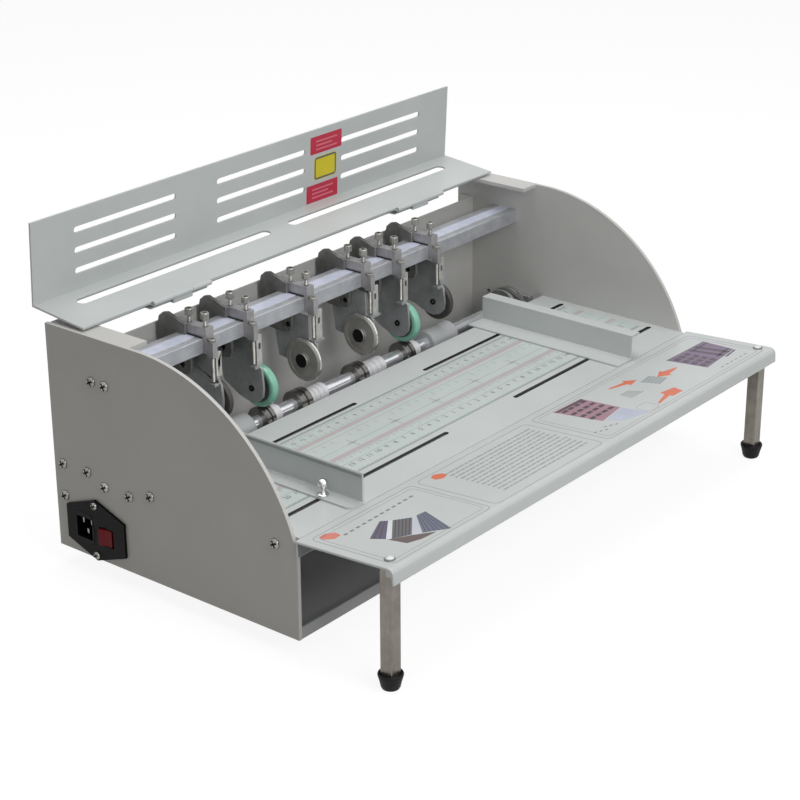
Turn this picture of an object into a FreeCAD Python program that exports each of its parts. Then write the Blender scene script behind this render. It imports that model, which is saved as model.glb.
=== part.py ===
import FreeCAD, Part
import os
import re
import Sketcher

# Desktop electric paper creaser: two steel side panels carry a tool bar with six
# sliding tool stations, a driven lower shaft, a slotted feed table with two fences,
# a fold-out front leaf on two legs and a hinged slotted cover.
# Machine frame used below: x runs from the outer face of the left side panel,
# y from the front edge of the side panels towards the back, z from their bottom edge.

doc = FreeCAD.newDocument("Creaser")
sheet = doc.addObject("Spreadsheet::Sheet", "Dimensions")

dimensions = [
    ("body_width", 490.0),
    ("body_depth", 237.0),
    ("body_height", 176.4),
    ("foot_height", 15.0),
    ("middle_width", 244.0),
    ("middle_depth", 84.286),
    ("panel_thickness", 3.0),
    ("panel_curve", 150.0),
    ("panel_curve_back", 145.0),
    ("flange_width", 17.0),
    ("flange_length", 81.0),
    ("flange_inset", 2.0),
    ("sheet_thickness", 2.0),
    ("tray_lip", 9.0),
    ("tray_side_flange", 30.0),
    ("wall_inset", 17.0),
    ("wall_low", 36.0),
    ("wall_high", 153.0),
    ("table_top", 77.2),
    ("table_to_wall", 76.0),
    ("slot_width", 4.0),
    ("front_slot_back", 29.2),
    ("rear_slot_inset", 25.7),
    ("left_slot_start", 10.0),
    ("left_slot_end", 203.0),
    ("right_slot_far", 203.0),
    ("right_slot_near", 9.0),
    ("leaf_overhang", 2.0),
    ("leaf_depth", 84.2),
    ("leaf_skirt", 12.0),
    ("leaf_skin", 2.0),
    ("leaf_tilt", 3.75),
    ("leg_size", 10.0),
    ("leg_wall", 1.0),
    ("leg_inset", 10.0),
    ("leg_front", 72.0),
    ("cup_rim", 9.0),
    ("cup_base", 7.0),
    ("cup_floor", 3.0),
    ("pad_radius", 10.0),
    ("pad_inset", 48.0),
    ("bar_to_wall", 47.0),
    ("bar_width", 25.0),
    ("bar_low", 138.8),
    ("bar_height", 11.6),
    ("bar_groove", 11.0),
    ("bar_groove_deep", 1.0),
    ("bar_screw_pitch", 13.4),
    ("hinge_to_wall", 21.4),
    ("hinge_lift", 5.1),
    ("hinge_radius", 2.0),
    ("hinge_pin", 1.0),
    ("hinge_length", 60.0),
    ("left_hinge_start", 71.0),
    ("right_hinge_inset", 136.0),
    ("strip_to_wall", 8.5),
    ("strip_width", 16.0),
    ("cover_side_gap", 0.6),
    ("cover_depth", 55.0),
    ("cover_rise", 63.1),
    ("cover_lean", 3.6),
    ("cover_sheet", 1.5),
    ("cover_low_slot", 9.0),
    ("cover_high_slot", 4.8),
    ("cover_tilt", 6.0),
    ("running_gap", 0.05),
    ("slide_gap", 0.1),
    ("shaft_to_wall", 48.0),
    ("shaft_high", 65.6),
    ("shaft_radius", 5.5),
    ("roller_radius", 11.3),
    ("collar_radius", 7.5),
    ("sleeve_radius", 8.0),
    ("bearing_thickness", 6.0),
    ("pulley_radius", 15.0),
    ("pulley_flange", 17.0),
    ("pulley_inset", 26.0),
    ("pulley_width", 14.0),
    ("belt_width", 4.0),
    ("belt_thickness", 1.6),
    ("motor_reach", 72.0),
    ("motor_high", 36.0),
    ("motor_radius", 24.0),
    ("motor_length", 92.0),
    ("block_width", 8.0),
    ("block_wall", 5.0),
    ("block_roof", 8.4),
    ("block_nose", 6.5),
    ("bracket_sheet", 2.5),
    ("bracket_crown", 9.5),
    ("pivot_to_wall", 27.0),
    ("pivot_high", 124.0),
    ("pivot_radius", 3.0),
    ("arm_sheet", 2.0),
    ("pressure_to_wall", 54.0),
    ("pressure_radius", 1.5),
    ("lift_travel", 1.7),
    ("axle_radius", 4.0),
    ("green_wheel_radius", 17.4),
    ("green_wheel_width", 7.5),
    ("dark_wheel_radius", 16.2),
    ("dark_wheel_width", 4.8),
    ("steel_wheel_radius", 17.6),
    ("steel_wheel_width", 4.2),
    ("fence_overrun", 5.5),
    ("fence_sheet", 1.5),
    ("left_fence_wall", 69.0),
    ("left_fence_flange", 13.0),
    ("left_fence_height", 23.6),
    ("right_fence_inset", 82.5),
    ("right_fence_flange", 19.5),
    ("right_fence_height", 20.9),
    ("fence_return", 10.0),
    ("fence_lug", 15.0),
    ("fence_screw_radius", 1.7),
    ("thumb_radius", 4.4),
    ("thumb_height", 12.6),
    ("inlet_inset", 41.6),
    ("inlet_high", 24.0),
    ("inlet_plate", 2.0),
    ("inlet_length", 60.0),
    ("inlet_height", 49.0),
    ("inlet_side_height", 26.8),
    ("socket_offset", 11.6),
    ("socket_drop", 1.5),
    ("rocker_offset", 11.0),
    ("rocker_drop", 2.5),
    ("rocker_window", 14.4),
    ("panel_screw_radius", 2.0),
    ("panel_screw_head", 4.0),
]

# Where the six tool stations stand along the bar: left face of each clamp block.
station_places = [94.5, 138.5, 207.0, 276.0, 315.0, 362.5]
# Height of each station's wheel axle.
station_axles = [99.8, 95.0, 99.3, 99.3, 95.0, 99.8]
for number in range(6):
    dimensions.append(("station_place_" + "abcdef"[number], station_places[number]))
    dimensions.append(("station_axle_" + "abcdef"[number], station_axles[number]))

for row, (alias, value) in enumerate(dimensions, start=1):
    sheet.set("A" + str(row), alias.replace("_", " "))
    sheet.set("B" + str(row), str(value))
    sheet.setAlias("B" + str(row), alias)
doc.recompute()

known_names = set(alias for alias, value in dimensions)
finished = []

# Places that follow from the sizes: what is behind the table stands in front of the rear
# wall, what is on the right is measured from the right panel's outer face, and the hinges
# stand on the panels' flanges.
places = {
    "wall_back": "body_depth - wall_inset",
    "flange_end": "body_depth - flange_inset",
    "flange_start": "body_depth - flange_inset - flange_length",
    "table_depth": "wall_back - table_to_wall",
    "rear_slot_back": "table_depth - rear_slot_inset",
    "right_slot_start": "body_width - right_slot_far",
    "right_slot_end": "body_width - right_slot_near",
    "bar_front": "wall_back - bar_to_wall",
    "strip_front": "wall_back - strip_to_wall",
    "hinge_back": "wall_back - hinge_to_wall",
    "hinge_high": "body_height - panel_thickness + hinge_lift",
    "right_hinge_start": "body_width - right_hinge_inset",
    "shaft_back": "wall_back - shaft_to_wall",
    "axle_back": "shaft_back",
    "pulley_start": "body_width - pulley_inset",
    "motor_back": "shaft_back - motor_reach",
    "pivot_back": "wall_back - pivot_to_wall",
    "pressure_back": "wall_back - pressure_to_wall",
    "fence_length": "table_depth + fence_overrun",
    "right_fence_wall": "body_width - right_fence_inset",
    "inlet_back": "body_depth - inlet_inset",
    "socket_back": "inlet_back + socket_offset",
    "socket_high": "inlet_high - socket_drop",
    "rocker_back": "inlet_back - rocker_offset",
    "rocker_high": "inlet_high - rocker_drop",
}


def bound(text):
    """Turn a formula in plain names of sizes and places into one that reads the sheet."""
    def look_up(found):
        word = found.group(0)
        if word in places:
            return "(" + bound(places[word]) + ")"
        if word in known_names:
            return "Dimensions." + word
        return word
    return re.sub(r"[a-z][a-z_]*", look_up, str(text))


def bind(item, settings):
    for name, formula in settings.items():
        item.setExpression(name, bound(formula))


def place(item, x, y, z):
    bind(item, {"Placement.Base.x": x, "Placement.Base.y": y, "Placement.Base.z": z})


def box(name, x, y, z, length, width, height):
    item = doc.addObject("Part::Box", name)
    bind(item, {"Length": length, "Width": width, "Height": height})
    place(item, x, y, z)
    return item


turns = {
    "x": FreeCAD.Rotation(FreeCAD.Vector(0, 1, 0), 90),
    "y": FreeCAD.Rotation(FreeCAD.Vector(1, 0, 0), -90),
    "z": FreeCAD.Rotation(),
}


def rod(name, axis, x, y, z, radius, length):
    item = doc.addObject("Part::Cylinder", name)
    item.Placement = FreeCAD.Placement(FreeCAD.Vector(), turns[axis])
    bind(item, {"Radius": radius, "Height": length})
    place(item, x, y, z)
    return item


def taper(name, axis, x, y, z, radius_from, radius_to, length):
    item = doc.addObject("Part::Cone", name)
    item.Placement = FreeCAD.Placement(FreeCAD.Vector(), turns[axis])
    bind(item, {"Radius1": radius_from, "Radius2": radius_to, "Height": length})
    place(item, x, y, z)
    return item


def prism(name, plane, points, start, length):
    """Extrude a closed outline. Plane yz is extruded along x, plane xy along z."""
    sketch = doc.addObject("Sketcher::SketchObject", name + "_outline")
    flat = [[measured(point[0]), measured(point[1])] for point in points]
    count = len(points)
    for index in range(count):
        here = flat[index]
        there = flat[(index + 1) % count]
        line = Part.LineSegment(FreeCAD.Vector(here[0], here[1], 0), FreeCAD.Vector(there[0], there[1], 0))
        sketch.addGeometry(line, False)
    for index in range(count):
        follower = (index + 1) % count
        sketch.addConstraint(Sketcher.Constraint("Coincident", index, 2, follower, 1))
    for index, point in enumerate(points):
        across = Sketcher.Constraint("DistanceX", -1, 1, index, 1, flat[index][0])
        sketch.addConstraint(across)
        sketch.renameConstraint(sketch.ConstraintCount - 1, "across" + str(index))
        sketch.setExpression("Constraints.across" + str(index), bound(point[0]))
        upward = Sketcher.Constraint("DistanceY", -1, 1, index, 1, flat[index][1])
        sketch.addConstraint(upward)
        sketch.renameConstraint(sketch.ConstraintCount - 1, "upward" + str(index))
        sketch.setExpression("Constraints.upward" + str(index), bound(point[1]))
    if plane == "yz":
        sketch.Placement = FreeCAD.Placement(FreeCAD.Vector(), FreeCAD.Rotation(FreeCAD.Vector(1, 1, 1), 120))
        place(sketch, start, "0", "0")
    else:
        place(sketch, "0", "0", start)
    item = doc.addObject("Part::Extrusion", name)
    item.Base = sketch
    item.DirMode = "Normal"
    item.Solid = True
    bind(item, {"LengthFwd": length})
    return item


def measured(formula):
    """Present value of a formula, for the first drawing of a sketch."""
    sheet.set("D1", "=" + re.sub(r"Dimensions\.", "", bound(formula)))
    sheet.recompute()
    value = sheet.get("D1")
    sheet.clear("D1")
    return float(getattr(value, "Value", value))


def join(name, items):
    if len(items) == 1:
        return items[0]
    item = doc.addObject("Part::MultiFuse", name)
    item.Shapes = items
    return item


def cut(name, base, tools):
    item = doc.addObject("Part::Cut", name)
    item.Base = base
    item.Tool = join(name + "_tools", tools)
    return item


def slot(name, axis, x, y, z, length, width, deep):
    """Round-ended slot along x, cut through a sheet lying flat (z) or standing (y)."""
    if axis == "z":
        middle = box(name + "_middle", f"{x} + {width} / 2", f"{y} - {width} / 2", z, f"{length} - {width}",
                     width, deep)
        first = rod(name + "_first", "z", f"{x} + {width} / 2", y, z, f"{width} / 2", deep)
        last = rod(name + "_last", "z", f"{x} + {length} - {width} / 2", y, z, f"{width} / 2", deep)
    else:
        middle = box(name + "_middle", f"{x} + {width} / 2", y, f"{z} - {width} / 2", f"{length} - {width}",
                     deep, width)
        first = rod(name + "_first", "y", f"{x} + {width} / 2", y, z, f"{width} / 2", deep)
        last = rod(name + "_last", "y", f"{x} + {length} - {width} / 2", y, z, f"{width} / 2", deep)
    return [middle, first, last]


def finish(item, label, x="0", y="0", z="0", tilt=None):
    """Make one sub-part: its label is its file name, its placement puts it in the machine."""
    part = item
    if item.TypeId not in ("Part::MultiFuse", "Part::Cut"):
        part = doc.addObject("Part::Compound", label + "_group")
        part.Links = [item]
    part.Label = label
    if tilt is not None:
        part.Placement = FreeCAD.Placement(FreeCAD.Vector(), FreeCAD.Rotation(FreeCAD.Vector(1, 0, 0), 10))
        bind(part, {"Placement.Rotation.Angle": tilt})
    place(part, f"{x} - middle_width", f"{y} - middle_depth", f"{z} + foot_height")
    finished.append(part)
    return part


# Side panels: steel sheet with a quarter-round front, an inward flange along the top
# and holes for the screws that hold the bar, rear wall, guides and table.
screw_places = [
    ("bar_front + bar_width / 2 - bar_screw_pitch / 2", "bar_low + bar_height / 2 - 2.8"),
    ("bar_front + bar_width / 2 + bar_screw_pitch / 2", "bar_low + bar_height / 2 - 2.8"),
    ("wall_back + 8", "68.2"),
    ("wall_back + 8", "42.5"),
    ("wall_back - 17.5", "68.6"),
    ("shaft_back + 13", "shaft_high - 4.3"),
    ("shaft_back - 12", "shaft_high - 4.3"),
    ("table_depth - 5.4", "67.6"),
    ("19.9", "68.2"),
]


def side_panel(label, outer, inner_flange):
    name = label + "_"
    rear = box(name + "rear", outer, "panel_curve_back", "0", "panel_thickness",
               "body_depth - panel_curve_back", "body_height")
    front_limit = box(name + "front_limit", outer, "0", "0", "panel_thickness", "panel_curve_back",
                      "body_height")
    curve = rod(name + "curve", "x", outer, "panel_curve_back", "body_height - panel_curve",
                "panel_curve", "panel_thickness")
    front = doc.addObject("Part::MultiCommon", name + "front")
    front.Shapes = [front_limit, curve]
    flange = box(name + "flange", inner_flange, "flange_start", "body_height - panel_thickness",
                 "flange_width", "flange_end - flange_start", "panel_thickness")
    body = join(name + "body", [rear, front, flange])
    holes = []
    for index, (back, high) in enumerate(screw_places):
        holes.append(rod(name + "hole" + str(index), "x", outer, back, high, "panel_screw_radius",
                         "panel_thickness"))
    return name, body, holes


name, body, holes = side_panel("left_side_panel", "0", "panel_thickness")
holes.append(box(name + "switch_window", "0", "inlet_back - 25", "inlet_high - 12", "panel_thickness", "50",
                 "22"))
for step in ("-20", "+20"):
    holes.append(rod(name + "inlet_hole" + str(len(holes)), "x", "0", "inlet_back", f"inlet_high {step}",
                     "panel_screw_radius", "panel_thickness"))
finish(cut(name + "cut", body, holes), "left_side_panel")
name, body, holes = side_panel("right_side_panel", "body_width - panel_thickness",
                               "body_width - panel_thickness - flange_width")
finish(cut(name + "cut", body, holes), "right_side_panel")

# Base tray between the panels, with a low front and rear lip and side flanges.
clear_width = "body_width - 2 * panel_thickness"
tray_floor = box("tray_floor", "panel_thickness", "0", "0", clear_width, "body_depth", "sheet_thickness")
tray_front = box("tray_front", "panel_thickness", "0", "0", clear_width, "sheet_thickness", "tray_lip")
tray_rear = box("tray_rear", "panel_thickness", "body_depth - sheet_thickness", "0", clear_width,
                "sheet_thickness", "tray_lip")
tray_left = box("tray_left", "panel_thickness", "4", "0", "sheet_thickness", "body_depth - 82",
                "tray_side_flange")
tray_right = box("tray_right", "body_width - panel_thickness - sheet_thickness", "4", "0",
                 "sheet_thickness", "body_depth - 82",
                "tray_side_flange")
finish(join("tray", [tray_floor, tray_front, tray_rear, tray_left, tray_right]), "base_tray")

# Rear wall with end flanges turned back against the side panels.
wall_sheet = box("wall_sheet", "panel_thickness", "wall_back", "wall_low", clear_width,
                 "sheet_thickness", "wall_high - wall_low")
wall_left = box("wall_left", "panel_thickness", "wall_back", "wall_low", "sheet_thickness", "14",
                "wall_high - wall_low")
wall_right = box("wall_right", "body_width - panel_thickness - sheet_thickness", "wall_back", "wall_low",
                 "sheet_thickness", "14", "wall_high - wall_low")
finish(join("wall", [wall_sheet, wall_left, wall_right]), "rear_wall")

# Feed table with four clamping slots for the fences and turned-down edges.
table_low = "table_top - sheet_thickness"
table_sheet = box("table_sheet", "panel_thickness", "0", table_low, clear_width, "table_depth",
                  "sheet_thickness")
table_front = box("table_front", "panel_thickness", "0", "table_top - 14", clear_width, "sheet_thickness",
                  "14")
table_rear = box("table_rear", "panel_thickness", "table_depth - sheet_thickness", "table_top - 7",
                 "pulley_start - 8", "sheet_thickness", "7")
table_left = box("table_left", "panel_thickness", "6", "table_top - 16", "sheet_thickness",
                 "table_depth - 6", "16")
table_right = box("table_right", "body_width - panel_thickness - sheet_thickness", "6", "table_top - 16",
                  "sheet_thickness", "table_depth - 6", "16")
table_body = join("table_body", [table_sheet, table_front, table_rear, table_left, table_right])
table_slots = []
for side in ("left", "right"):
    for where in ("front", "rear"):
        table_slots += slot("table_slot_" + side + "_" + where, "z", side + "_slot_start",
                            where + "_slot_back",
                            table_low, f"({side}_slot_end - {side}_slot_start)", "slot_width",
                            "sheet_thickness")
finish(cut("table_cut", table_body, table_slots), "feed_table")

# Front leaf: sheet with a rounded front edge turned down and a rear flange against the
# table's front; it tilts up to the front and is open at its ends.
leaf_profile = [
    ("0", "0"),
    ("5.2 - leaf_depth", "0"),
    ("2.2 - leaf_depth", "-0.7"),
    ("0.4 - leaf_depth", "-2.8"),
    ("-leaf_depth", "-5.6"),
    ("-leaf_depth", "-leaf_skirt"),
    ("0", "-leaf_skirt"),
]
leaf_outer = prism("leaf_outer", "yz", leaf_profile, "-leaf_overhang", "body_width + 2 * leaf_overhang")
leaf_hollow = box("leaf_hollow", "-leaf_overhang", "6.4 - leaf_depth", "-leaf_skirt",
                  "body_width + 2 * leaf_overhang", "leaf_depth - 6.4 - leaf_skin", "leaf_skirt - leaf_skin")
leaf_lip = box("leaf_lip", "-leaf_overhang", "leaf_skin - leaf_depth", "-leaf_skirt",
               "body_width + 2 * leaf_overhang", "leaf_depth - 2 * leaf_skin", "leaf_skirt - 6.4")
finish(cut("leaf_cut", leaf_outer, [leaf_hollow, leaf_lip]), "front_leaf", "0", "0", "table_top - 0.1",
       "-leaf_tilt")

# Two square-tube legs under the leaf, standing in rubber cups, and four pads below the base.
slope = "tan(leaf_tilt * 1 deg)"
legs = []
cups = []
for side, centre in (("left", "leg_inset"), ("right", "body_width - leg_inset + 4")):
    middle = f"({centre})"
    top_near = f"table_top - 0.1 - leaf_skin / cos(leaf_tilt * 1 deg) + (leg_front - leg_size / 2) * {slope}"
    top_far = f"table_top - 0.1 - leaf_skin / cos(leaf_tilt * 1 deg) + (leg_front + leg_size / 2) * {slope}"
    outline = [
        ("-leg_front - leg_size / 2", "cup_floor - foot_height"),
        ("-leg_front + leg_size / 2", "cup_floor - foot_height"),
        ("-leg_front + leg_size / 2", top_near),
        ("-leg_front - leg_size / 2", top_far),
    ]
    tube = prism("leg_tube_" + side, "yz", outline, f"{middle} - leg_size / 2", "leg_size")
    hollow = box("leg_hollow_" + side, f"{middle} - leg_size / 2 + leg_wall",
                 "-leg_front - leg_size / 2 + leg_wall", "cup_floor - foot_height",
                 "leg_size - 2 * leg_wall", "leg_size - 2 * leg_wall", "table_top")
    legs.append(cut("leg_" + side, tube, [hollow]))
    cup = taper("cup_" + side, "z", middle, "-leg_front", "-foot_height", "cup_base", "cup_rim",
                "foot_height")
    pocket = box("cup_pocket_" + side, f"{middle} - leg_size / 2", "-leg_front - leg_size / 2",
                 "cup_floor - foot_height", "leg_size", "leg_size", "foot_height")
    cups.append(cut("cup_cut_" + side, cup, [pocket]))
finish(join("legs", legs), "front_legs")
pads = list(cups)
for index, (x, y) in enumerate([("pad_inset", "pad_inset"), ("body_width - pad_inset", "pad_inset"),
                                ("pad_inset", "body_depth - pad_inset"),
                                ("body_width - pad_inset", "body_depth - pad_inset")]):
    pads.append(rod("pad" + str(index), "z", x, y, "-foot_height", "pad_radius", "foot_height"))
finish(join("feet", pads), "rubber_feet")

# Tool bar: aluminium extrusion with a shallow groove along its top face.
bar = box("bar_body", "panel_thickness", "bar_front", "bar_low", clear_width, "bar_width", "bar_height")
groove = box("bar_groove_tool", "panel_thickness", "bar_front + bar_width / 2 - bar_groove / 2",
             "bar_low + bar_height - bar_groove_deep", clear_width, "bar_groove", "bar_groove_deep")
finish(cut("bar_cut", bar, [groove]), "tool_bar")

# Cross strip below the panel flanges; the cover's hinges are fixed on it.
strip_top = "body_height - panel_thickness"
strip = box("strip", "panel_thickness", "strip_front", f"{strip_top} - sheet_thickness", clear_width,
            "strip_width", "sheet_thickness")
finish(strip, "hinge_strip")
fixed = []
moving = []
for side in ("left", "right"):
    start = side + "_hinge_start"
    third = "hinge_length / 3"
    leaf_plate = box("fixed_plate_" + side, start, "hinge_back + 3", strip_top, "hinge_length",
                     "strip_front + strip_width - 2 - (hinge_back + 3)", "1")
    link = box("fixed_link_" + side, f"{start} + {third}", "hinge_back - 1", strip_top, third, "4", "1")
    tongue = box("fixed_tongue_" + side, f"{start} + {third}", "hinge_back - 1", strip_top,
                 third, "2", f"hinge_high - ({strip_top}) - 0.6")
    barrel = rod("fixed_barrel_" + side, "x", f"{start} + {third}", "hinge_back", "hinge_high",
                 "hinge_radius", third)
    pin = rod("fixed_pin_" + side, "x", start, "hinge_back", "hinge_high", "hinge_pin", "hinge_length")
    fixed.append(join("fixed_hinge_" + side, [leaf_plate, link, tongue, barrel, pin]))
    plate = box("moving_plate_" + side, start, "2.4", "-1.75", "hinge_length", "12", "1")
    pieces = [plate]
    for end, shift in (("a", "0"), ("b", f"{third} * 2 + slide_gap")):
        pieces.append(rod("moving_barrel_" + side + end, "x", f"{start} + {shift}", "0", "0",
                          "hinge_radius", f"{third} - slide_gap"))
        pieces.append(box("moving_tongue_" + side + end, f"{start} + {shift}", "0", "-1.75",
                          f"{third} - slide_gap", "4", "1"))
    solid = join("moving_solid_" + side, pieces)
    bore = rod("moving_bore_" + side, "x", start, "0", "0", "hinge_pin + running_gap", "hinge_length")
    moving.append(cut("moving_hinge_" + side, solid, [bore]))
finish(join("fixed_hinges", fixed), "hinge_fixed_leaves")
finish(join("moving_hinges", moving), "hinge_moving_leaves", "0", "hinge_back", "hinge_high", "cover_tilt")

# Cover: one folded sheet, its low plate tilted up from the hinge line, its high plate
# upright behind; rows of round-ended slots in both.
cover_profile = [
    ("2.2", "-cover_sheet / 2"),
    ("cover_depth", "-cover_sheet / 2"),
    ("cover_depth + cover_lean", "cover_rise"),
    ("cover_depth + cover_lean - cover_sheet", "cover_rise"),
    ("cover_depth - cover_sheet", "cover_sheet / 2"),
    ("2.2", "cover_sheet / 2"),
]
cover_start = "panel_thickness + cover_side_gap"
cover_body = prism("cover_body", "yz", cover_profile, cover_start,
                   "body_width - 2 * (panel_thickness + cover_side_gap)")
cover_slots = []
for index, (start, stop) in enumerate([("31", "237"), ("body_width - 229", "body_width - 28")]):
    cover_slots += slot("cover_low_slot_" + str(index), "z", start, "36.5", "-2", f"({stop} - ({start}))",
                        "cover_low_slot", "4")
middle_slot = ("body_width / 2 - 50", "body_width / 2 + 54")
for row, high in enumerate(["15.3", "31.2", "46.9"]):
    for index, (start, stop) in enumerate([("45", "150"), middle_slot, ("body_width - 146",
                                                                        "body_width - 42.5")]):
        cover_slots += slot(f"cover_high_slot_{row}{index}", "y", start, "cover_depth - 4", high,
                            f"({stop} - ({start}))", "cover_high_slot", "12")
finish(cut("cover_cut", cover_body, cover_slots), "cover", "0", "hinge_back", "hinge_high", "cover_tilt")

# Lower shaft with its feed rollers, die discs, ringed sleeves and drive pulley.
shaft = rod("shaft", "x", "panel_thickness + 0.3", "shaft_back", "shaft_high", "shaft_radius",
            "body_width - 2 * panel_thickness - 0.6")
finish(shaft, "feed_shaft")


def shaft_ring(label, start, stop, radius):
    ring = rod(label, "x", start, "shaft_back", "shaft_high", radius, f"{stop} - ({start})")
    core = rod(label + "_bore", "x", start, "shaft_back", "shaft_high", "shaft_radius", f"{stop} - ({start})")
    return cut(label + "_ring", ring, [core])


left_roller = shaft_ring("roller_left", "station_place_a + 9.5", "station_place_a + 42.5", "roller_radius")
right_roller = shaft_ring("roller_right", "station_place_f - 6.5", "station_place_f + 26.5", "roller_radius")
finish(join("rollers", [left_roller, right_roller]), "feed_rollers")
discs = []
for index, (station, start, stop, radius) in enumerate([
        ("b", 11, 21.5, "roller_radius"), ("b", 21.5, 32.5, "collar_radius"),
        ("c", -17, -4, "roller_radius"), ("d", -16, -4, "roller_radius"),
        ("e", 6.5, 17, "roller_radius"), ("e", 17, 28, "collar_radius")]):
    home = "station_place_" + station
    discs.append(shaft_ring("disc" + str(index), f"{home} + {start}", f"{home} + {stop}", radius))
finish(join("discs", discs), "die_discs")
sleeves = []
for index, (start, stop) in enumerate([("station_place_c - 3", "station_place_c + 18"),
                                       ("station_place_d - 3", "station_place_d + 21")]):
    sleeve = shaft_ring("sleeve" + str(index), start, stop, "sleeve_radius")
    rings = []
    for groove_index in range(3):
        at = f"{start} + ({stop} - ({start})) * {0.2 + 0.25 * groove_index}"
        rings.append(shaft_ring(f"sleeve_groove{index}{groove_index}", at, f"{at} + 1.2",
                                "sleeve_radius + 1"))
    keep = rod("sleeve_core" + str(index), "x", start, "shaft_back", "shaft_high", "sleeve_radius - 0.6",
               f"{stop} - ({start})")
    grooves = cut("sleeve_grooves" + str(index), join("sleeve_rings" + str(index), rings), [keep])
    sleeves.append(cut("sleeve_cut" + str(index), sleeve, [grooves]))
finish(join("sleeves", sleeves), "die_sleeves")

bearings = []
for side, start in (("left", "panel_thickness"), ("right",
                                                  "body_width - panel_thickness - bearing_thickness")):
    plate = box("bearing_plate_" + side, start, "shaft_back - 18", "shaft_high - 14", "bearing_thickness",
                "36", "24")
    boss = rod("bearing_boss_" + side, "x", start, "shaft_back", "shaft_high", "12", "bearing_thickness")
    bore = rod("bearing_bore_" + side, "x", start, "shaft_back", "shaft_high", "shaft_radius + running_gap",
               "bearing_thickness")
    bearings.append(cut("bearing_" + side, join("bearing_solid_" + side, [plate, boss]), [bore]))
finish(join("bearings", bearings), "shaft_bearings")


def pulley(label, back, high, bore_radius):
    drum = rod(label + "_drum", "x", "pulley_start", back, high, "pulley_radius", "pulley_width")
    near = rod(label + "_near", "x", "pulley_start", back, high, "pulley_flange", "1.5")
    far = rod(label + "_far", "x", "pulley_start + pulley_width - 1.5", back, high, "pulley_flange", "1.5")
    bore = rod(label + "_bore", "x", "pulley_start - 1", back, high, bore_radius, "pulley_width + 2")
    return cut(label + "_cut", join(label + "_body", [drum, near, far]), [bore])


finish(pulley("shaft_pulley", "shaft_back", "shaft_high", "shaft_radius"), "shaft_pulley")

# Motor under the table, with a foot on the tray; its pulley drives the shaft by a flat belt.
can = rod("motor_can", "x", "pulley_start - motor_length - 5", "motor_back", "motor_high", "motor_radius",
          "motor_length")
foot = box("motor_foot", "pulley_start - motor_length + 5", "motor_back - 24", "sheet_thickness",
           "motor_length - 20", "48", "motor_high - sheet_thickness")
nose = rod("motor_nose", "x", "pulley_start - 5", "motor_back", "motor_high", "9", "3")
nose_bore = rod("motor_nose_bore", "x", "pulley_start - 25", "motor_back", "motor_high", "3 + running_gap",
                "24")
finish(cut("motor_cut", join("motor_body", [can, foot, nose]), [nose_bore]), "motor")
spindle = rod("motor_spindle", "x", "pulley_start - 22", "motor_back", "motor_high", "3", "pulley_width + 26")
finish(join("motor_drive", [pulley("motor_pulley", "motor_back", "motor_high", "3"), spindle]),
       "motor_pulley")

belt_run = "sqrt((shaft_back - motor_back) ^ 2 + (shaft_high - motor_high) ^ 2)"
inside = "pulley_radius + running_gap"
outside = "pulley_radius + running_gap + belt_thickness"
belt_rings = []
for label, radius in (("belt_outer", outside), ("belt_inner", inside)):
    start = "pulley_start + (pulley_width - belt_width) / 2"
    one_end = rod(label + "_shaft_end", "x", start, "0", "0", radius, "belt_width")
    other_end = rod(label + "_motor_end", "x", start, f"-({belt_run})", "0", radius, "belt_width")
    run = box(label + "_run", start, f"-({belt_run})", f"-({radius})", "belt_width", belt_run,
              f"2 * ({radius})")
    belt_rings.append(join(label, [one_end, other_end, run]))
finish(cut("belt_cut", belt_rings[0], [belt_rings[1]]), "drive_belt", "0", "shaft_back", "shaft_high",
       "atan2(shaft_high - motor_high; shaft_back - motor_back)")

# Tool stations. Each is a clamp block over the bar with a bracket plate, two cap screws
# and a pressure screw, a swinging arm on the bracket's pivot, and a wheel on the arm.
# Inside a station x runs from the left face of its clamp block.
bar_top = "bar_low + bar_height"
channel_front = "bar_front - slide_gap"
channel_back = "bar_front + bar_width + slide_gap"
channel_top = f"{bar_top} + slide_gap"


def clamp_block(tag, place_name):
    outer = box("block_outer_" + tag, "0", f"{channel_front} - 3.4", "bar_low", "block_width",
                "bar_width + 2 * slide_gap + 3.4 + block_wall", f"bar_height + block_roof + slide_gap")
    nose = box("block_nose_" + tag, "0", f"{channel_front} - 3.4 - block_nose", f"{bar_top} - 13.5",
               "block_width - 3", "block_nose", "12")
    channel = box("block_channel_" + tag, "0", channel_front, "bar_low", "block_width",
                  "bar_width + 2 * slide_gap", "bar_height + slide_gap")
    holes = [channel]
    for index, back in enumerate(["bar_front + 1", "bar_front + 17"]):
        holes.append(rod(f"block_hole_{tag}{index}", "z", "4", back, bar_top, "1.7", "20"))
    holes.append(rod("block_pressure_hole_" + tag, "z", "2.5", "pressure_back", bar_top + " - 20",
                     "pressure_radius", "30"))
    solid = join("block_solid_" + tag, [outer, nose])
    finish(cut("block_cut_" + tag, solid, holes), "clamp_block_" + tag, place_name)


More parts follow.
